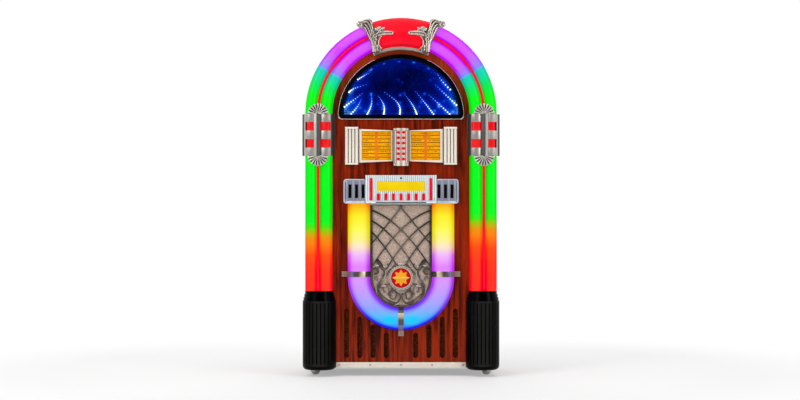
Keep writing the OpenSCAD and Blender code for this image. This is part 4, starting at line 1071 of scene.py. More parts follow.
# Each row: a lamp on the rim, then smaller, deeper beads that are painted reflections of it.
# Its start on the rim, its far end, how far it bows aside, its size and its number
LAMP_ROWS = [
    ((-0.202, 0.003), (-0.162, 0.062), 0.005, 1.0, 9), ((-0.137, 0.001), (-0.121, 0.084), 0.009, 0.95, 14),
    ((-0.07, 0.001), (-0.092, 0.075), 0.011, 1.05, 13), ((-0.005, 0.001), (-0.066, 0.09), 0.023, 1.05, 14),
    ((0.064, 0.001), (0.016, 0.08), 0.006, 1.0, 13), ((0.132, 0.001), (0.06, 0.093), 0.001, 0.95, 13),
    ((0.197, 0.002), (0.114, 0.08), 0.0, 1.0, 11), ((0.225, 0.038), (0.141, 0.12), 0.0, 1.1, 11),
    ((0.2, 0.101), (0.147, 0.168), -0.006, 1.0, 8), ((-0.229, 0.031), (-0.158, 0.085), 0.0, 1.1, 9),
    ((-0.211, 0.09), (-0.141, 0.122), -0.013, 1.0, 10), ((-0.175, 0.142), (-0.126, 0.172), 0.0, 0.95, 8),
]
MIRROR_FRONT = 0.006
MIRROR_DEEP = 0.031
LAMP_R = 0.0032
LAMP_SHRINK = 0.7
GLOW_FLOOR = DOME_LOW.z + 0.018
lamps = []
for start, end, bow, scale, count in LAMP_ROWS:
    for t in (k / (count - 1) for k in range(count)):
        x = eased(start[0], end[0], t) + bow * math.sin(math.pi * t)
        z = GLOW_FLOOR + eased(start[1], end[1], t)
        lamps.append((x, z, eased(MIRROR_FRONT, MIRROR_DEEP, t), LAMP_R * scale * (1 - LAMP_SHRINK * t)))


def lamp_colour(tree, tone):
    """White with a blue cast, bluer the deeper the bead, as the painted reflections go."""
    deep = smooth_step(place(tree)[1] - FACE_Y, MIRROR_FRONT, MIRROR_DEEP)
    white = mix(smooth_step(tone, 0.3, 0.7), (0.85, 0.93, 1.0), (1.0, 1.0, 1.0))
    return mix(deep, white, (0.25, 0.55, 1.0))


dots = scattered(bead(), [(front(x, z, -v), (0, 0, 0), (r,) * 3) for x, z, v, r in lamps], None)
piece("dome_lamps", dots, "dome_mirror", lit("small lamps", lamp_colour, 1.8))

# Soft echoes of the lamps in the mirror: their places and strengths
ECHOES = [
    (-0.068, 0.207, 0.9), (-0.008, 0.217, 0.9), (0.052, 0.212, 0.9), (0.111, 0.19, 0.9),
    (-0.122, 0.183, 1.0), (-0.12, 0.084, 0.9), (0.095, 0.085, 0.8), (-0.003, 0.08, 0.8),
    (-0.003, 0.049, 0.5), (-0.094, 0.044, 0.5), (-0.08, 0.026, 0.45), (-0.147, 0.014, 0.6),
    (-0.19, 0.049, 0.45), (-0.165, 0.028, 0.5), (-0.213, 0.01, 0.6), (0.081, 0.052, 0.6),
    (0.073, 0.032, 0.6), (0.067, 0.019, 0.45), (0.137, 0.017, 0.6), (0.174, 0.056, 0.5),
    (0.21, 0.013, 0.6), (-0.011, 0.142, 0.5), (0.005, 0.13, 0.4), (0.119, 0.141, 0.4),
    (0.134, 0.151, 0.4), (0.153, 0.042, 0.9), (0.153, 0.031, 0.9), (0.014, 0.088, 0.7),
]
# The mirror glows blue at its rim and round each lamp, by a value kept on its points
GLOW_STEP = 0.004
GLOW_R = DOME_R - 0.019
GLOW_TALL = DOME_Z + GLOW_R - GLOW_FLOOR
LAMP_HALO = 0.0095
ECHO_HALO = 0.0062
RIM_FADE = 0.032
UPWARD_FADE = 0.055
columns = int(2 * GLOW_R / GLOW_STEP)
rows = int(GLOW_TALL / GLOW_STEP)


def from_middle(x, z):
    """The way of a point of the mirror from the middle of its round top, or from the middle line."""
    return math.hypot(x, max(z - DOME_Z, 0))


sheet = bmesh.new()
verts = {}
for i in range(columns + 1):
    for j in range(rows + 1):
        x, z = eased(-GLOW_R, GLOW_R, i / columns), GLOW_FLOOR + GLOW_TALL * j / rows
        if from_middle(x, z) <= GLOW_R:
            verts[i, j] = sheet.verts.new(front(x, z, -MIRROR_DEEP - 0.003))
for i, j in verts:
    corners = [verts.get(key) for key in ((i, j), (i + 1, j), (i + 1, j + 1), (i, j + 1))]
    if all(corners):
        sheet.faces.new(corners)
bmesh.ops.delete(sheet, geom=[v for v in sheet.verts if not v.link_faces], context="VERTS")
back = as_mesh(sheet)
halos = [(x, z, LAMP_HALO, 0.3 * r / LAMP_R) for x, z, v, r in lamps]
halos += [(x, GLOW_FLOOR + z, ECHO_HALO, 0.85 * strength) for x, z, strength in ECHOES]
glow = []
for x, y, z in (vert.co for vert in back.vertices):
    near_rim = math.exp((from_middle(x, z) - GLOW_R) / RIM_FADE)
    near_floor = math.exp((GLOW_FLOOR - z) / UPWARD_FADE)
    light = 0.5 * near_rim * (0.4 + min(1, abs(x) / GLOW_R)) + 0.36 * near_floor
    light += sum(s * math.exp(-((x - hx) ** 2 + (z - hz) ** 2) / wide ** 2) for hx, hz, wide, s in halos)
    glow.append(min(1.0, light))
back.attributes.new("glow", "FLOAT", "POINT").data.foreach_set("value", glow)
MIRROR_BLUES = [(0, (0.0, 0.0, 0.2)), (0.12, (0.0, 0.03, 0.4)), (0.4, (0.0, 0.16, 0.8)),
                (0.75, (0.04, 0.42, 1.0)), (1, (0.4, 0.72, 1.0))]


def mirror_colour(tree, tone):
    """Deep blue, bright where the lamps throw their light on it."""
    lamp_light = Wire(add(tree, "ShaderNodeAttribute", attribute_name="glow").outputs["Fac"])
    return ramp(lamp_light * (noise(own(tree), 260.0, 2.0) * 0.5 + 0.75), MIRROR_BLUES)


piece("dome_glow", back, "dome_mirror", lit("blue mirror light", mirror_colour, 0.75, 0.15, 0.0))
# The box's walls glow blue with painted light, standing for the lamps' light on them
box_walls = lit("mirror box walls", uneven((0.0, 0.03, 0.3), (0.0, 0.12, 0.6)), 0.4, 0.15, 0.0)
softened("dome_mirror_box", box_walls, 0.0008)

# Title rack
# Two ivory window frames stand beside the buttons, each with a sheet of paper title strips,
# and ribbed ivory caps close the ends.

CAP_JOINT = 0.1718
JOINT_HALF = 0.0016


def shaded_joints(tree, ivory_colour):
    """Ivory with painted shade in the gap between each frame and its cap."""
    away = abs(abs(place(tree)[0]) - CAP_JOINT)
    return mix(smooth_step(away, JOINT_HALF * 0.6, JOINT_HALF), (0.2, 0.14, 0.11), ivory_colour)


# The rack's hollows are painted darker, as shade
rack_ivory = casting("rack ivory", (0.96, 0.92, 0.86), (0.26, 0.21, 0.18), 0.011, 0.0, shaded_joints)
softened("title_rack", rack_ivory, 0.0012)

# Paper strips in two columns on each card, with a folded ridge along the middle of each strip
STRIP_ROWS = 8
STRIP_GAP = 0.0012
STRIP_T = 0.0007
STRIP_IN = 0.0006
DIVIDER_HALF = 0.0052
EDGE_MARGIN = 0.003
CARD_W = 0.05
CARD_LOW, CARD_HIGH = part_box("title_cards")
PITCH = (CARD_HIGH.z - CARD_LOW.z - 2 * EDGE_MARGIN) / STRIP_ROWS
STRIP_OUTLINE = [(-0.5, 0.0), (-0.5, 0.8), (-0.34, 1.0), (0.0, 0.86), (0.34, 1.0), (0.5, 0.8), (0.5, 0.0)]
STRIP_STEPS = 6


def printed_strip():
    """A paper strip of unit width and height, bowed a little, its back at Y = 0."""
    shape = bmesh.new()
    grid = []
    for x in (i / STRIP_STEPS - 0.5 for i in range(STRIP_STEPS + 1)):
        bow = 1 + 0.2 * (1 - 4 * x * x)
        row = [shape.verts.new((x, -y * bow, z)) for z, y in STRIP_OUTLINE]
        grid.append([*row, row[0]])
    skinned(shape, grid)
    shape.faces.new(grid[0][:-1])
    shape.faces.new(grid[-1][-2::-1])
    return as_mesh(shape)


# A line of small marks on each strip: short runs of ink of uneven length
LINE_UP = 0.42
LINE_HALF = 0.11
paper, tree, shader = new_material("title paper")
x, y, z = place(tree)
row = (z - (CARD_LOW.z + EDGE_MARGIN)) / PITCH
in_row = row.sum("FRACT")
number = row.sum("FLOOR")


def by_row(across, step, detail):
    """Noise along the strips that differs from row to row."""
    spread = add(tree, "ShaderNodeCombineXYZ", X=x * across, Z=number * step).outputs[0]
    return noise(Wire(spread), 1.0, detail)


on_line = abs(in_row - LINE_UP).sum("LESS_THAN", LINE_HALF)
marks = smooth_step(by_row(330.0, 7.3, 1.0), 0.42, 0.55)
words = smooth_step(by_row(22.0, 3.1, 0.0), 0.42, 0.52)
fibre = noise(own(tree), 420.0, 3.0)
sheet_colour = mix(smooth_step(fibre, 0.3, 0.7), (0.93, 0.61, 0.0), (0.97, 0.69, 0.0))
# Each strip is darker along its top edge
sheet_colour = mix(smooth_step(in_row, 0.7, 0.86), sheet_colour, (0.5, 0.3, 0.0))
sheet_colour = mix(marks * words * on_line * 0.85, sheet_colour, (0.16, 0.12, 0.03))
# The paper glows faintly in its own colour: painted light, as it has no lamp
dress(shader, Base_Color=sheet_colour, Emission_Color=sheet_colour, Emission_Strength=0.12, Roughness=0.6,
      Specular_IOR_Level=0.08)
bump(shader, fibre, strength=0.12, distance=0.0004)

spots = []
for low, high in islands("title_cards"):
    if high.x - low.x < CARD_W:
        continue
    strip_w = (high.x - low.x) / 2 - DIVIDER_HALF - EDGE_MARGIN
    for k in range(STRIP_ROWS):
        z = CARD_LOW.z + EDGE_MARGIN + PITCH * (k + 0.5)
        for side in (-1, 1):
            x = (low.x + high.x) / 2 + side * (DIVIDER_HALF + strip_w / 2)
            spots.append(((x, low.y + STRIP_IN, z), (0, 0, 0), (strip_w, STRIP_T, PITCH - STRIP_GAP)))
piece("title_strips", scattered(printed_strip(), spots, paper), "card_yellow")
softened("title_cards", plastic("card orange", (1.0, 0.52, 0.02), (0.93, 0.42, 0.0), 0.5, 0.1), 0.0003)

# Button column
# A taupe column with two white strips stands between the title windows. Two rows of six red
# buttons spring in the strips, with a pale tab between each pair and ivory ridges beside them.

BUTTONS = [f"select_button_{number}" for number in range(1, 13)]
COLUMN_LOW, COLUMN_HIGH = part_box("button_column")
COLUMN_FACE = FACE_Y - COLUMN_LOW.y
STRIP_HALF = 0.006
STRIP_FADE = 0.001


def middle_of(node):
    """The middle of a CAD node's box."""
    low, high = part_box(node)
    return (low + high) / 2


BUTTON_X = abs(middle_of(BUTTONS[0]).x)


def striped(tree, taupe):
    """Taupe with a white strip under each row of buttons."""
    away = abs(abs(place(tree)[0]) - BUTTON_X)
    return mix(smooth_step(away, STRIP_HALF, STRIP_HALF - STRIP_FADE), taupe, (0.97, 0.94, 0.9))


# The column's hollows are painted darker, as shade
column_taupe = casting("column taupe", (0.66, 0.58, 0.53), (0.16, 0.13, 0.12), 0.009, 0.0, striped)
softened("button_column", column_taupe, 0.0012)
button_red = lit("button red", uneven((0.93, 0.0, 0.1), (1, 0.02, 0.17)), 0.5, 0.25, 0.2)
for button in BUTTONS:
    softened(button, button_red, 0.0009, segments=3)

RIDGE_R = 0.0024
RIDGE_OUT = 2.05 * BUTTON_X
RIDGE_WIDTHS = [RIDGE_R * 0.5, RIDGE_R, RIDGE_R, RIDGE_R * 0.5]
ridge_ends = (COLUMN_LOW.z + 0.010, COLUMN_LOW.z + 0.012, COLUMN_HIGH.z - 0.012, COLUMN_HIGH.z - 0.010)
ridges = [([front(x, z, COLUMN_FACE - RIDGE_R * 0.4) for z in ridge_ends], RIDGE_WIDTHS)
          for x in (-RIDGE_OUT, 0, RIDGE_OUT)]
# Short flutes across the column's top and foot
FLUTES = 9
FLUTE_R = 0.0021
FLUTE_IN = 0.0012
FLUTE_LONG = 0.0085
flute_ends = [(COLUMN_LOW.z + FLUTE_IN, COLUMN_LOW.z + FLUTE_LONG),
              (COLUMN_HIGH.z - FLUTE_LONG, COLUMN_HIGH.z - FLUTE_IN)]
for k in range(FLUTES):
    x = eased(COLUMN_LOW.x + 0.005, COLUMN_HIGH.x - 0.005, k / (FLUTES - 1))
    ridges += [([front(x, z, COLUMN_FACE - FLUTE_IN) for z in ends], FLUTE_R) for ends in flute_ends]
TAB_SIZE = (0.0032, 0.0016, 0.0028)
button_rows = sorted({round(middle_of(button).z, 4) for button in BUTTONS})
tabs = [(front(x, (low + high) / 2, COLUMN_FACE - 0.0002), (0, 0, 0), TAB_SIZE)
        for low, high in zip(button_rows, button_rows[1:]) for x in (-BUTTON_X, BUTTON_X)]
# The hollows round the ridges and tabs are painted darker, as shade
ivory = casting("ribbed ivory", (0.95, 0.91, 0.85), (0.3, 0.25, 0.22), 0.011, 0.0)
column_trim = joined(strands(ridges, ivory), scattered(bead(), tabs, ivory))
piece("button_column_trim", column_trim, "ivory", ivory)

# Key panel
# A ribbed silver-white panel over the grille, with seven red keys, two tall red bars, a bare
# yellow plate and a small dark window for a hand control. A ledge runs along its foot.

# The grooves between the panel's ribs are painted darker, as shade
panel_pale = casting("panel silver white", (0.95, 1.0, 1.0), (0.62, 0.68, 0.72), 0.006, 0.05)
softened("key_panel", panel_pale, 0.0008)
# The keys, the bars and the bare yellow plate have no lamps: their glow is painted light
key_red = lit("key red", uneven((0.95, 0.0, 0.11), (1, 0.01, 0.15)), 0.55, 0.22)
for number in range(1, 8):
    softened(f"control_key_{number}", key_red, 0.0012, segments=3)
softened("panel_bars", key_red, 0.0006)
yellows = uneven((0.96, 0.81, 0.0), (0.99, 0.85, 0.0), (0.3, 0.75))
softened("yellow_plate", lit("yellow plate", yellows, 0.55, 0.3, 0.02), 0.0006)

# The hand control's window is a dark lens
PANEL_LOW, PANEL_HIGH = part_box("key_panel")
PANEL_FACE = FACE_Y - PANEL_LOW.y
RECEIVER_Z = 0.802
RECEIVER_R = 0.00376
lens = lathed([(0, 0.5), (0.55, 0.42), (0.92, 0.12), (1, -0.6), (0, -0.6)], 24)
dark_window = plastic("dark window", (0.16, 0.03, 0.02), (0.08, 0.01, 0.01), 0.08, 0.8)
spot = (front(0, RECEIVER_Z, PANEL_FACE - 0.003), (math.radians(90), 0, 0), (RECEIVER_R,) * 3)
piece("receiver_window", scattered(lens, [spot], dark_window), "plate_black")

# Wings
# A silver block with rounded corners stands each side of the panel, with three dark slots and
# a half-round bar beside each slot. Its edges carry painted highlights.

wing_silver = metal("wing silver", between((0.55, 0.56, 0.62), (0.76, 0.77, 0.83)), 0.36,
                    (250.0, 250.0, 8.0), metallic=0.7)
softened("wing_grilles", wing_silver, 0.002)
WING_LOW, WING_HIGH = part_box("wing_grilles")
WING_Z = (WING_LOW.z + WING_HIGH.z) / 2
WING_FACE = 0.031
WING_IN = PANEL_HIGH.x + 0.0005
SLOTS = 3
SLOT_PITCH = (WING_HIGH.x - WING_IN) / (SLOTS + 0.3)
SLOT_SHIFT = 0.36
SLOT_SIZE = (0.0062, 0.016, WING_HIGH.z - WING_Z - 0.0205)
SLOT_FLOOR = WING_FACE - 0.019
TRAY = ((-1, -1), (1, -1), (1, 1), (-1, 1))


def lining():
    """A shallow tray of unit half width and height, open to the front, its floor at Y = 0."""
    shape = bmesh.new()
    rim = [shape.verts.new((x, -1, z)) for x, z in TRAY]
    bed = [shape.verts.new((x * 0.9, 0, z * 0.97)) for x, z in TRAY]
    skinned(shape, [[*rim, rim[0]], [*bed, bed[0]]])
    shape.faces.new(bed)
    bmesh.ops.recalc_face_normals(shape, faces=shape.faces)
    bmesh.ops.solidify(shape, geom=shape.faces[:], thickness=0.05)
    return as_mesh(shape, outwards=False)


slots = [side * (WING_IN + SLOT_PITCH * (k + SLOT_SHIFT)) for side in (-1, 1) for k in range(SLOTS)]
slot_dark = plastic("slot dark", (0.06, 0.06, 0.075), (0.02, 0.02, 0.03), 0.6, 0.0)
spots = [(front(x, WING_Z, SLOT_FLOOR), (0, 0, 0), SLOT_SIZE) for x in slots]
piece("wing_slot_linings", scattered(lining(), spots, slot_dark), "plate_black")

# Half-round bars between the slots
BAR_R = 0.0055
BAR_IN = 0.0035
BAR_WIDTHS = [0.7 * BAR_R, BAR_R, BAR_R, 0.7 * BAR_R]
bar_ends = (WING_LOW.z + 0.008, WING_LOW.z + 0.012, WING_HIGH.z - 0.006, WING_HIGH.z - 0.003)
beside = [x + math.copysign(SLOT_PITCH / 2, x) for x in slots]
upright = [([front(x, z, WING_FACE - BAR_IN) for z in bar_ends], BAR_WIDTHS) for x in beside]
piece("wing_bars", strands(upright, wing_silver), "wing_chrome")

# Painted highlights: a glowing line round each wing, doubled at its end, and a broad one along its foot
EDGE_IN = 0.0008
EDGE_V = WING_FACE - 0.001
EDGE_CORNER = 0.008
EDGE_R, END_R, FOOT_R = 0.0021, 0.0022, 0.0048
END_IN = 0.009
FOOT_UP = 0.0045
x0, x1 = WING_IN + 0.003, WING_HIGH.x - EDGE_IN
z0, z1 = WING_LOW.z + EDGE_IN, WING_HIGH.z - EDGE_IN
outline = [front(x0, z0, EDGE_V)]
outline += arc(x1 - EDGE_CORNER, z0 + EDGE_CORNER, EDGE_CORNER, -90, 90, 6, EDGE_V)
outline += arc(x1 - EDGE_CORNER, z1 - EDGE_CORNER, EDGE_CORNER, 0, 90, 6, EDGE_V)
outline.append(front(x0, z1, EDGE_V))
end_line = [front(x1 - END_IN, z, EDGE_V) for z in (z0 + 0.012, z1 - 0.01)]
foot_line = [front(x, z0 + FOOT_UP, EDGE_V - 0.002) for x in (x0, x1 - EDGE_CORNER)]
painted_edge_highlights = lit("edge light", uneven((0.7, 0.84, 1.0), (0.92, 0.96, 1.0)), 0.45, 0.2, 0.3)
edges = mirrored([(outline, EDGE_R), (end_line, END_R), (foot_line, FOOT_R)])
piece("wing_edges", strands(edges, painted_edge_highlights), "wing_chrome")

# The same painted highlight runs along the ledge under the keys; dark strands under it and by each wing's
# end are painted shade
LEDGE_R = 0.0024
LEDGE_UP = 0.0085
LEDGE_V = PANEL_FACE - LEDGE_R / 2
GAP_UP = 0.0028
GAP_HALF = 0.102
END_GAP_IN = 0.005
END_GAP_R = 0.0013
ledge = [front(x, PANEL_LOW.z + LEDGE_UP, LEDGE_V) for x in (PANEL_LOW.x + LEDGE_R, PANEL_HIGH.x - LEDGE_R)]
piece("panel_ledge_bead", strands([(ledge, LEDGE_R)], painted_edge_highlights), "panel_pale")
under_ledge = [front(x, PANEL_LOW.z + GAP_UP, LEDGE_V) for x in (-GAP_HALF, GAP_HALF)]
between_lines = [front(x1 - END_GAP_IN, z, EDGE_V) for z in (z0 + 0.013, z1 - 0.011)]
painted_gap_shade = [(under_ledge, LEDGE_R), *mirrored([(between_lines, END_GAP_R)])]
piece("dark_gaps", strands(painted_gap_shade, slot_dark), "plate_black")

# Horseshoe
# A half-round light tube bends round the grille like a horseshoe, its lamps changing colour
# from orange at the top to blue at the foot. Three chrome straps hold it down.

TUBE_LOW, TUBE_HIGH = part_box("horseshoe_tube")
TUBE_RISE = FACE_Y - TUBE_LOW.y
# Heights with the colours of the tube's sides and of its crown
TUBE_COLOURS = [
    (TUBE_LOW.z, (0.08, 0.06, 1.0), (0.25, 0.62, 1.0)), (0.24, (0.16, 0.1, 1.0), (0.3, 0.75, 1.0)),
    (0.275, (0.4, 0.2, 1.0), (0.56, 0.66, 1.0)), (0.33, (0.6, 0.24, 1.0), (0.74, 0.62, 1.0)),
    (0.39, (0.74, 0.22, 1.0), (0.85, 0.6, 1.0)), (0.445, (0.8, 0.2, 1.0), (0.89, 0.52, 1.0)),
    (0.49, (0.85, 0.4, 0.98), (0.94, 0.72, 0.98)), (0.523, (0.93, 0.75, 0.55), (0.98, 0.9, 0.8)),
    (0.555, (0.94, 0.87, 0.2), (0.98, 0.95, 0.55)), (0.6, (0.94, 0.9, 0.0), (0.98, 0.97, 0.32)),
    (0.65, (0.97, 0.8, 0.0), (1.0, 0.93, 0.14)), (TUBE_HIGH.z, (0.98, 0.42, 0.0), (1.0, 0.64, 0.0)),
]
LAMP_SPOT = (0.046, 0.228)
LAMP_SPOT_SIZE = (0.034, 0.02)


def tube_colour(tree, tone):
    """The lamps' colours up the tube, paler on its crown, with two bright spots at the foot."""
    x, y, z = place(tree)
    high = smooth_step(height_over_face(tree), TUBE_RISE * 0.5, TUBE_RISE * 0.97)
    crown = high * smooth_step(tone, -0.4, 0.5)
    colour = mix(crown, tones(z, TUBE_COLOURS, 1), tones(z, TUBE_COLOURS, 2))
    aside = (abs(x) - LAMP_SPOT[0]) / LAMP_SPOT_SIZE[0]
    above = (z - LAMP_SPOT[1]) / LAMP_SPOT_SIZE[1]
    spot = 1.0 - smooth_step(aside * aside + above * above, 0.1, 1.3)
    return mix(spot * 0.95, colour, (0.06, 0.8, 1.0))


softened("horseshoe_tube", lit("lit tube", tube_colour, 0.62))

# The straps' painted reflections by the way out from the middle of the bend: dark, bright, dark, then satin
# feet
STRAP_Z = 0.402
STRAP_PAINTED_TONES = [
    (0.12, (0.3, 0.27, 0.25)), (0.142, (0.28, 0.25, 0.23)), (0.147, (1.0, 0.92, 0.8)),
    (0.16, (0.9, 0.82, 0.7)), (0.172, (0.4, 0.35, 0.33)), (0.19, (0.36, 0.33, 0.33)),
    (0.196, (0.5, 0.5, 0.75)), (0.206, (0.5, 0.5, 0.75)), (0.21, (0.66, 0.57, 0.52)),
    (0.25, (0.66, 0.57, 0.52)),
]


def strap_painted_light(tree, tone):
    """Chrome with its painted reflections, a little duller along the brushing."""
    x, y, z = place(tree)
    return mix(tone * 0.2, tones(distance(x, z - STRAP_Z), STRAP_PAINTED_TONES), (0.3, 0.26, 0.24))


strap_chrome = metal("strap chrome", strap_painted_light, 0.3, (300.0, 300.0, 10.0), 0.14, 0.5)
softened("tube_straps", strap_chrome, 0.0008)

# A low screw in each strap's foot
STRAP_SCREW = (0.0028, 0.0028, 0.0014)
STRAP_FOOT = 0.009
STRAP_T = 0.003
spots = []
for low, high in islands("tube_straps"):
    middle = (low + high) / 2
    foot = front(middle.x, low.z + STRAP_FOOT, STRAP_T)
    if high.x - low.x >= high.z - low.z:
        end = max(abs(low.x), abs(high.x)) - STRAP_FOOT
        foot = front(math.copysign(end, middle.x), middle.z, STRAP_T)
    spots.append((foot, (math.radians(90), 0.4, 0), STRAP_SCREW))
piece("strap_screws", screw_heads(spots, strap_chrome), "screw_steel")

# Grille
# A casting lies inside the horseshoe over tan speaker cloth: a rim with a silver top, dark bars
# that cross like a net, scrolls below, and a pale scalloped ring. The same cloth, darker and
# browner, backs the slots low down in the front.

THREADS = 1800.0
VENT_FROM = (FACE_Y + 0.008, FACE_Y + 0.009)
cloth, tree, shader = new_material("speaker cloth")
x, y, z = place(tree)
slub = noise(own(tree), 230.0, 3.0)
thread = (x * THREADS).sum("SINE") * (z * THREADS).sum("SINE") * 0.18 + slub
tan = ramp(thread, [(0.25, (0.6, 0.52, 0.47)), (0.5, (0.76, 0.67, 0.61)), (0.75, (0.87, 0.78, 0.71))])
vent_brown = mix(smooth_step(slub, 0.4, 0.6), (0.24, 0.09, 0.04), (0.4, 0.19, 0.1))
dress(shader, Base_Color=mix(smooth_step(y, *VENT_FROM), tan, vent_brown), Roughness=0.9, Specular_IOR_Level=0.05)
bump(shader, thread, strength=0.5, distance=0.0006)
softened("speaker_cloth", cloth)

GRILLE_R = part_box("grille_casting")[1].x
GRILLE_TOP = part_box("grille_casting")[1].z
BEND_Z = 0.402
BAR_V = 0.0078
EMBLEM_LOW, EMBLEM_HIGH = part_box("emblem_disc")
EMBLEM_Z = middle_of("emblem_disc").z
EMBLEM_R = (EMBLEM_HIGH.x - EMBLEM_LOW.x) / 2
NET_FROM = (0.43, 0.47)
FADE_IN = (0.015, 0.06)
SILVER_FROM = (GRILLE_TOP - 0.0075, GRILLE_TOP - 0.0065)


def blackened(tree, black):
    """Near black on the net's ends, browner in its middle and on the scrolls, silver along the top."""
    x, y, z = place(tree)
    brown = use(tree, patina_and_shade, Metal=(0.47, 0.42, 0.38), Dirt=(0.05, 0.04, 0.035), Depth=0.007)
    iron = mix(smooth_step(z, *NET_FROM) * smooth_step(abs(x), *FADE_IN), brown["Color"], black)
    return mix(smooth_step(z, *SILVER_FROM), iron, (0.8, 0.83, 0.83))


grille_iron = casting("grille iron", (0.27, 0.26, 0.26), (0.02, 0.018, 0.018), 0.008, 0.7, blackened)
softened("grille_casting", grille_iron, 0.0009)

# The net's bars: start below the top edge, slope and bend, as in the casting
NET = [(0.027, 0.32, 2.6), (0.069, 0.49, 3.2), (0.111, 0.975, 3.1), (-0.139, 1.25, 0.0)]
NET_STEPS = 80
RIM_W = 0.004
RING_W = 0.012


def in_net(x, z):
    """Whether a point over the emblem's middle lies inside the rim and clear of the emblem's ring."""
    wide = abs(x) if z > BEND_Z else math.hypot(x, z - BEND_Z)
    clear = math.hypot(x, z - EMBLEM_Z) > EMBLEM_R + RING_W
    return wide < GRILLE_R - RIM_W and EMBLEM_Z < z < GRILLE_TOP - RIM_W and clear


# Each bar is thick and dark at its upper end, with a painted highlight, a thin pale strand, along its lower
# side
THICK, THIN = 0.0036, 0.0014
LINE_DOWN = 0.0042
LINE_R = 0.0012
dark_bars = []
pale_bars = []
for start, slope, bend in NET:
    for side in (1, -1):
        run = []
        for u in (2 * GRILLE_R * k / NET_STEPS for k in range(NET_STEPS + 1)):
            x, z = side * (u - GRILLE_R), GRILLE_TOP - start - slope * u - bend * u * u
            if in_net(x, z):
                run.append(front(x, z, BAR_V))
            elif run:
                break
        if len(run) > 3:
            line = [p - Vector((side * LINE_DOWN / 2, 0, LINE_DOWN)) for p in run[:len(run) // 2]]
            dark_bars.append(tapered(run, THICK, THIN, len(run)))
            pale_bars.append(tapered(line, LINE_R, LINE_R / 3, len(line)))

# An S down each side of the emblem that runs round a lobe below it and rolls up inside
S_CURVE = [
    (0.0985, 0.472), (0.0888, 0.4527), (0.0783, 0.4431), (0.0695, 0.4325), (0.0668, 0.4202),
    (0.0695, 0.4061), (0.0792, 0.3903), (0.0897, 0.3762), (0.0959, 0.3604), (0.0967, 0.3463),
    (0.0923, 0.3322), (0.0827, 0.3182), (0.0686, 0.3059), (0.0528, 0.2962), (0.0352, 0.2918),
    (0.0193, 0.2971), (0.0088, 0.3076), (0.0048, 0.3199), (0.007, 0.3322), (0.0193, 0.3418),
    (0.0281, 0.3445), (0.0378, 0.3393), (0.0457, 0.3305), (0.045, 0.3217), (0.0345, 0.312),
    (0.0228, 0.315), (0.021, 0.323), (0.029, 0.3225),
]
CURLS = [
    [(0.0827, 0.371), (0.088, 0.358), (0.0868, 0.343), (0.0825, 0.327), (0.0738, 0.313)],
    [(0.0823, 0.3569), (0.0753, 0.3638), (0.063, 0.3665), (0.0526, 0.3586), (0.049, 0.345), (0.0485, 0.333)],
    [(0.075, 0.428), (0.084, 0.4395), (0.095, 0.4435), (0.1075, 0.439), (0.1125, 0.429)],
    [(0.0555, 0.456), (0.051, 0.445), (0.0545, 0.433), (0.0595, 0.421), (0.0555, 0.41)],
]
scrolls = [drawn(S_CURVE, BAR_V, 0.0042, 0.0018)]
scrolls += [drawn(places, BAR_V, 0.0022, 0.0014) for places in CURLS]
scrolls.append(coil(0.1045, 0.4235, 0.011, 0.003, 60, 1.1, BAR_V, 0.0022, 0.0014))
scrolls.append(coil(0.1035, 0.3975, 0.0095, 0.003, 250, -1.0, BAR_V, 0.0018, 0.0012))
dark_bars += mirrored(scrolls)

# The rim: a rounded moulding round the edge with a fine bead inside it
RIM_STEPS = 48
for inset, width, v in ((0.0024, 0.0024, 0.0128), (0.0075, 0.0014, 0.0086)):
    r, top = GRILLE_R - inset, GRILLE_TOP - inset
    round_foot = arc(0, BEND_Z, r, 0, -180, RIM_STEPS, v)
    dark_bars.append(([front(r, top, v), *round_foot, front(-r, top, v)], width, True))
piece("grille_bars", strands(dark_bars, grille_iron), "grille_pewter")

# The ring: two beads with a row of scallops, and leaves that flare from it
RING_STEPS = 64
RING_V = 0.0125
for extra, width in ((0.0022, 0.0028), (0.0072, 0.0022)):
    pale_bars.append((arc(0, EMBLEM_Z, EMBLEM_R + extra, 0, 360, RING_STEPS, RING_V)[:-1], width, True))
FLARES = [
    [(0.0335, 0.457), (0.036, 0.447), (0.0445, 0.4385), (0.0535, 0.4275), (0.0575, 0.4205)],
    [(0.0425, 0.452), (0.046, 0.443), (0.0535, 0.4345), (0.0605, 0.4255)],
    [(0.004, 0.3435), (0.0085, 0.3395), (0.018, 0.3465), (0.0265, 0.3495)],
    [(0.0075, 0.2985), (0.0155, 0.2915), (0.0255, 0.2875), (0.036, 0.2865)],
    [(0.1008, 0.36), (0.1012, 0.347), (0.0968, 0.3315), (0.0868, 0.317), (0.0725, 0.3042), (0.056, 0.2935)],
    [(0.0628, 0.428), (0.0615, 0.4195), (0.064, 0.4075), (0.073, 0.3905), (0.083, 0.3765)],
]
FLARE_V = BAR_V + 0.001
pale_bars += mirrored([drawn(places, FLARE_V, 0.0028, 0.0012) for places in FLARES])
pale_bars.append(drawn([(0, 0.3535), (0, 0.345), (0, 0.3345)], FLARE_V, 0.0042, 0.0022))

SCALLOPS = 28
SCALLOP_V, LEAF_V, SHELL_V = 0.0105, 0.009, 0.0085
LEAF_T = 0.003
SCALLOP_R = EMBLEM_R + 0.0095
SCALLOP_SIZE = (0.0038, 0.0026, 0.0026)
SHELL_UP = 0.0565
SHELL_SIZE = (0.0145, 0.0032, 0.007)
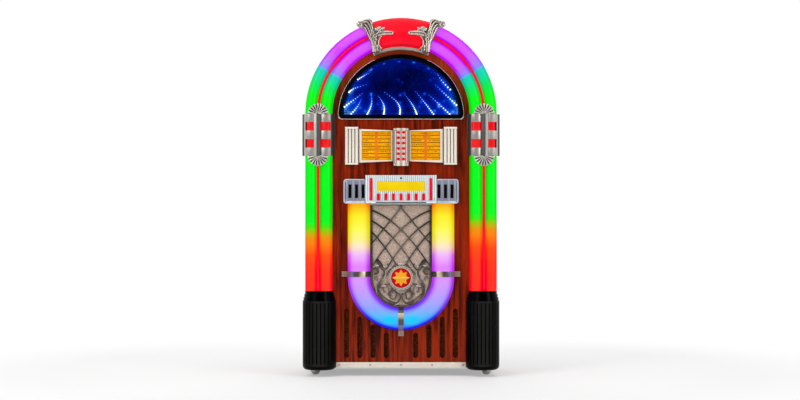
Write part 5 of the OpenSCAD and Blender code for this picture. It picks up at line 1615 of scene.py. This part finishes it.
# Leaves on the scrolls: place from the emblem's middle, length, width and turn
SCROLL_LEAVES = [
    (0.066, -0.032, 0.008, 0.0035, 20), (0.0745, -0.034, 0.007, 0.003, -15),
    (0.068, 0.045, 0.0055, 0.0035, 40), (0.096, 0.05, 0.01, 0.004, 170),
    (0.012, -0.05, 0.0065, 0.003, 30), (0.0275, -0.0745, 0.004, 0.003, 0),
]
spots = []
for a in (2 * math.pi * (k + 0.5) / SCALLOPS for k in range(SCALLOPS)):
    middle = front(SCALLOP_R * math.cos(a), EMBLEM_Z + SCALLOP_R * math.sin(a), SCALLOP_V)
    spots.append((middle, (0, -a, 0), SCALLOP_SIZE))
spots += leafy(SCROLL_LEAVES, EMBLEM_Z, LEAF_V, LEAF_T)
spots.append((front(0, EMBLEM_Z + SHELL_UP, SHELL_V), (0, 0, 0), SHELL_SIZE))
grille_pewter = casting("grille pewter", (0.78, 0.73, 0.67), (0.16, 0.13, 0.12), 0.006, 0.1)
ornament = joined(strands(pale_bars, grille_pewter), scattered(bead(), spots, grille_pewter))
piece("grille_ornament", ornament, "grille_pewter", grille_pewter)

# Emblem
# A red enamel disc in the ring carries a gold star of eight rays and a pale bar across it.

emblem_red = plastic("emblem red", (0.9, 0.0, 0.1), (0.78, 0.0, 0.08), 0.3, 0.05, shine=0.1)
softened("emblem_disc", emblem_red, 0.001)
EMBLEM_FACE = FACE_Y - EMBLEM_LOW.y
STAR_RAYS = 8


def star(long, waist, rise):
    """A faceted star that rises from its rim to the middle."""
    shape = bmesh.new()
    rim = []
    for k in range(2 * STAR_RAYS):
        a = math.pi * (k / STAR_RAYS + 0.5)
        r = waist if k % 2 else long
        rim.append(shape.verts.new(front(r * math.cos(a), EMBLEM_Z + r * math.sin(a), EMBLEM_FACE + 0.0006)))
    foot = [shape.verts.new(front(v.co.x, v.co.z, EMBLEM_FACE - 0.0004)) for v in rim]
    peak = shape.verts.new(front(0, EMBLEM_Z, EMBLEM_FACE + rise))
    for a, b in zip(rim, [*rim[1:], rim[0]]):
        shape.faces.new((a, b, peak))
    skinned(shape, [[*foot, foot[0]], [*rim, rim[0]]])
    shape.faces.new(foot[::-1])
    return as_mesh(shape)


gold = metal("gold star", between((1.0, 0.62, 0.0), (1.0, 0.7, 0.0)), 0.5, (300.0, 300.0, 60.0),
             metallic=0.1)
piece("emblem_star", star(long=0.0338, waist=0.0215, rise=0.0016), "emblem_red", gold)
GOLD_BAR_HALF = 0.0335
GOLD_BAR_WIDTHS = [0.0012, 0.0027, 0.0027, 0.0012]
across = [front(x * GOLD_BAR_HALF, EMBLEM_Z + 0.001, EMBLEM_FACE + 0.0012) for x in (-1, -0.8, 0.8, 1)]
pale_gold = metal("pale gold", between((0.98, 0.86, 0.3), (1.0, 0.95, 0.5)), 0.25, metallic=0.1)
piece("emblem_bar", strands([(across, GOLD_BAR_WIDTHS)], pale_gold), "emblem_red")

# Works
# Inside stand two loudspeakers, an amplifier with fins and its power supply, and strips of
# small lamps lie behind the lenses.

driver_black = plastic("driver black", (0.1, 0.1, 0.11), (0.05, 0.05, 0.055), 0.55, 0.05, 300.0, 0.2)
softened("woofers", driver_black, 0.0008)
works_metal = metal("works metal", between((0.45, 0.46, 0.47), (0.66, 0.67, 0.68)), 0.4, (200.0, 8.0, 200.0))
softened("electronics", works_metal, 0.0008)
LAMP_BEAT = 380.0


def strip_colour(tree, tone):
    """White board with a lamp every few millimetres."""
    x, y, z = place(tree)
    beat = ((z + x) * LAMP_BEAT).sum("SINE")
    return mix(smooth_step(beat, 0.5, 0.8), (0.6, 0.62, 0.64), (1, 1, 0.95))


softened("light_strips", lit("lamp strip", strip_colour, 0.5))

# Connections
# A black steel plate on the back with a mains inlet, a rocker switch and an audio jack.

plate_black = plastic("plate black", (0.12, 0.12, 0.125), (0.07, 0.07, 0.075), 0.5, 0.1, 500.0, 0.2)
softened("terminal_plate", plate_black, 0.0003)
softened("power_rocker", plastic("rocker black", (0.07, 0.07, 0.075), (0.03, 0.03, 0.03), 0.25, 0.4), 0.0005)

# Casters
# Four small swivel casters under the base: bright pressed forks and pale grey rubber wheels.

fork_metal = metal("caster metal", between((0.62, 0.62, 0.62), (0.88, 0.88, 0.87)), 0.22)
tread_grey = plastic("caster tread", (0.75, 0.73, 0.7), (0.66, 0.64, 0.62), 0.35, 0.2)
for number in range(1, 5):
    softened(f"caster_fork_{number}", fork_metal, 0.0004)
    softened(f"caster_wheel_{number}", tread_grey, 0.0008)

bpy.context.view_layer.update()
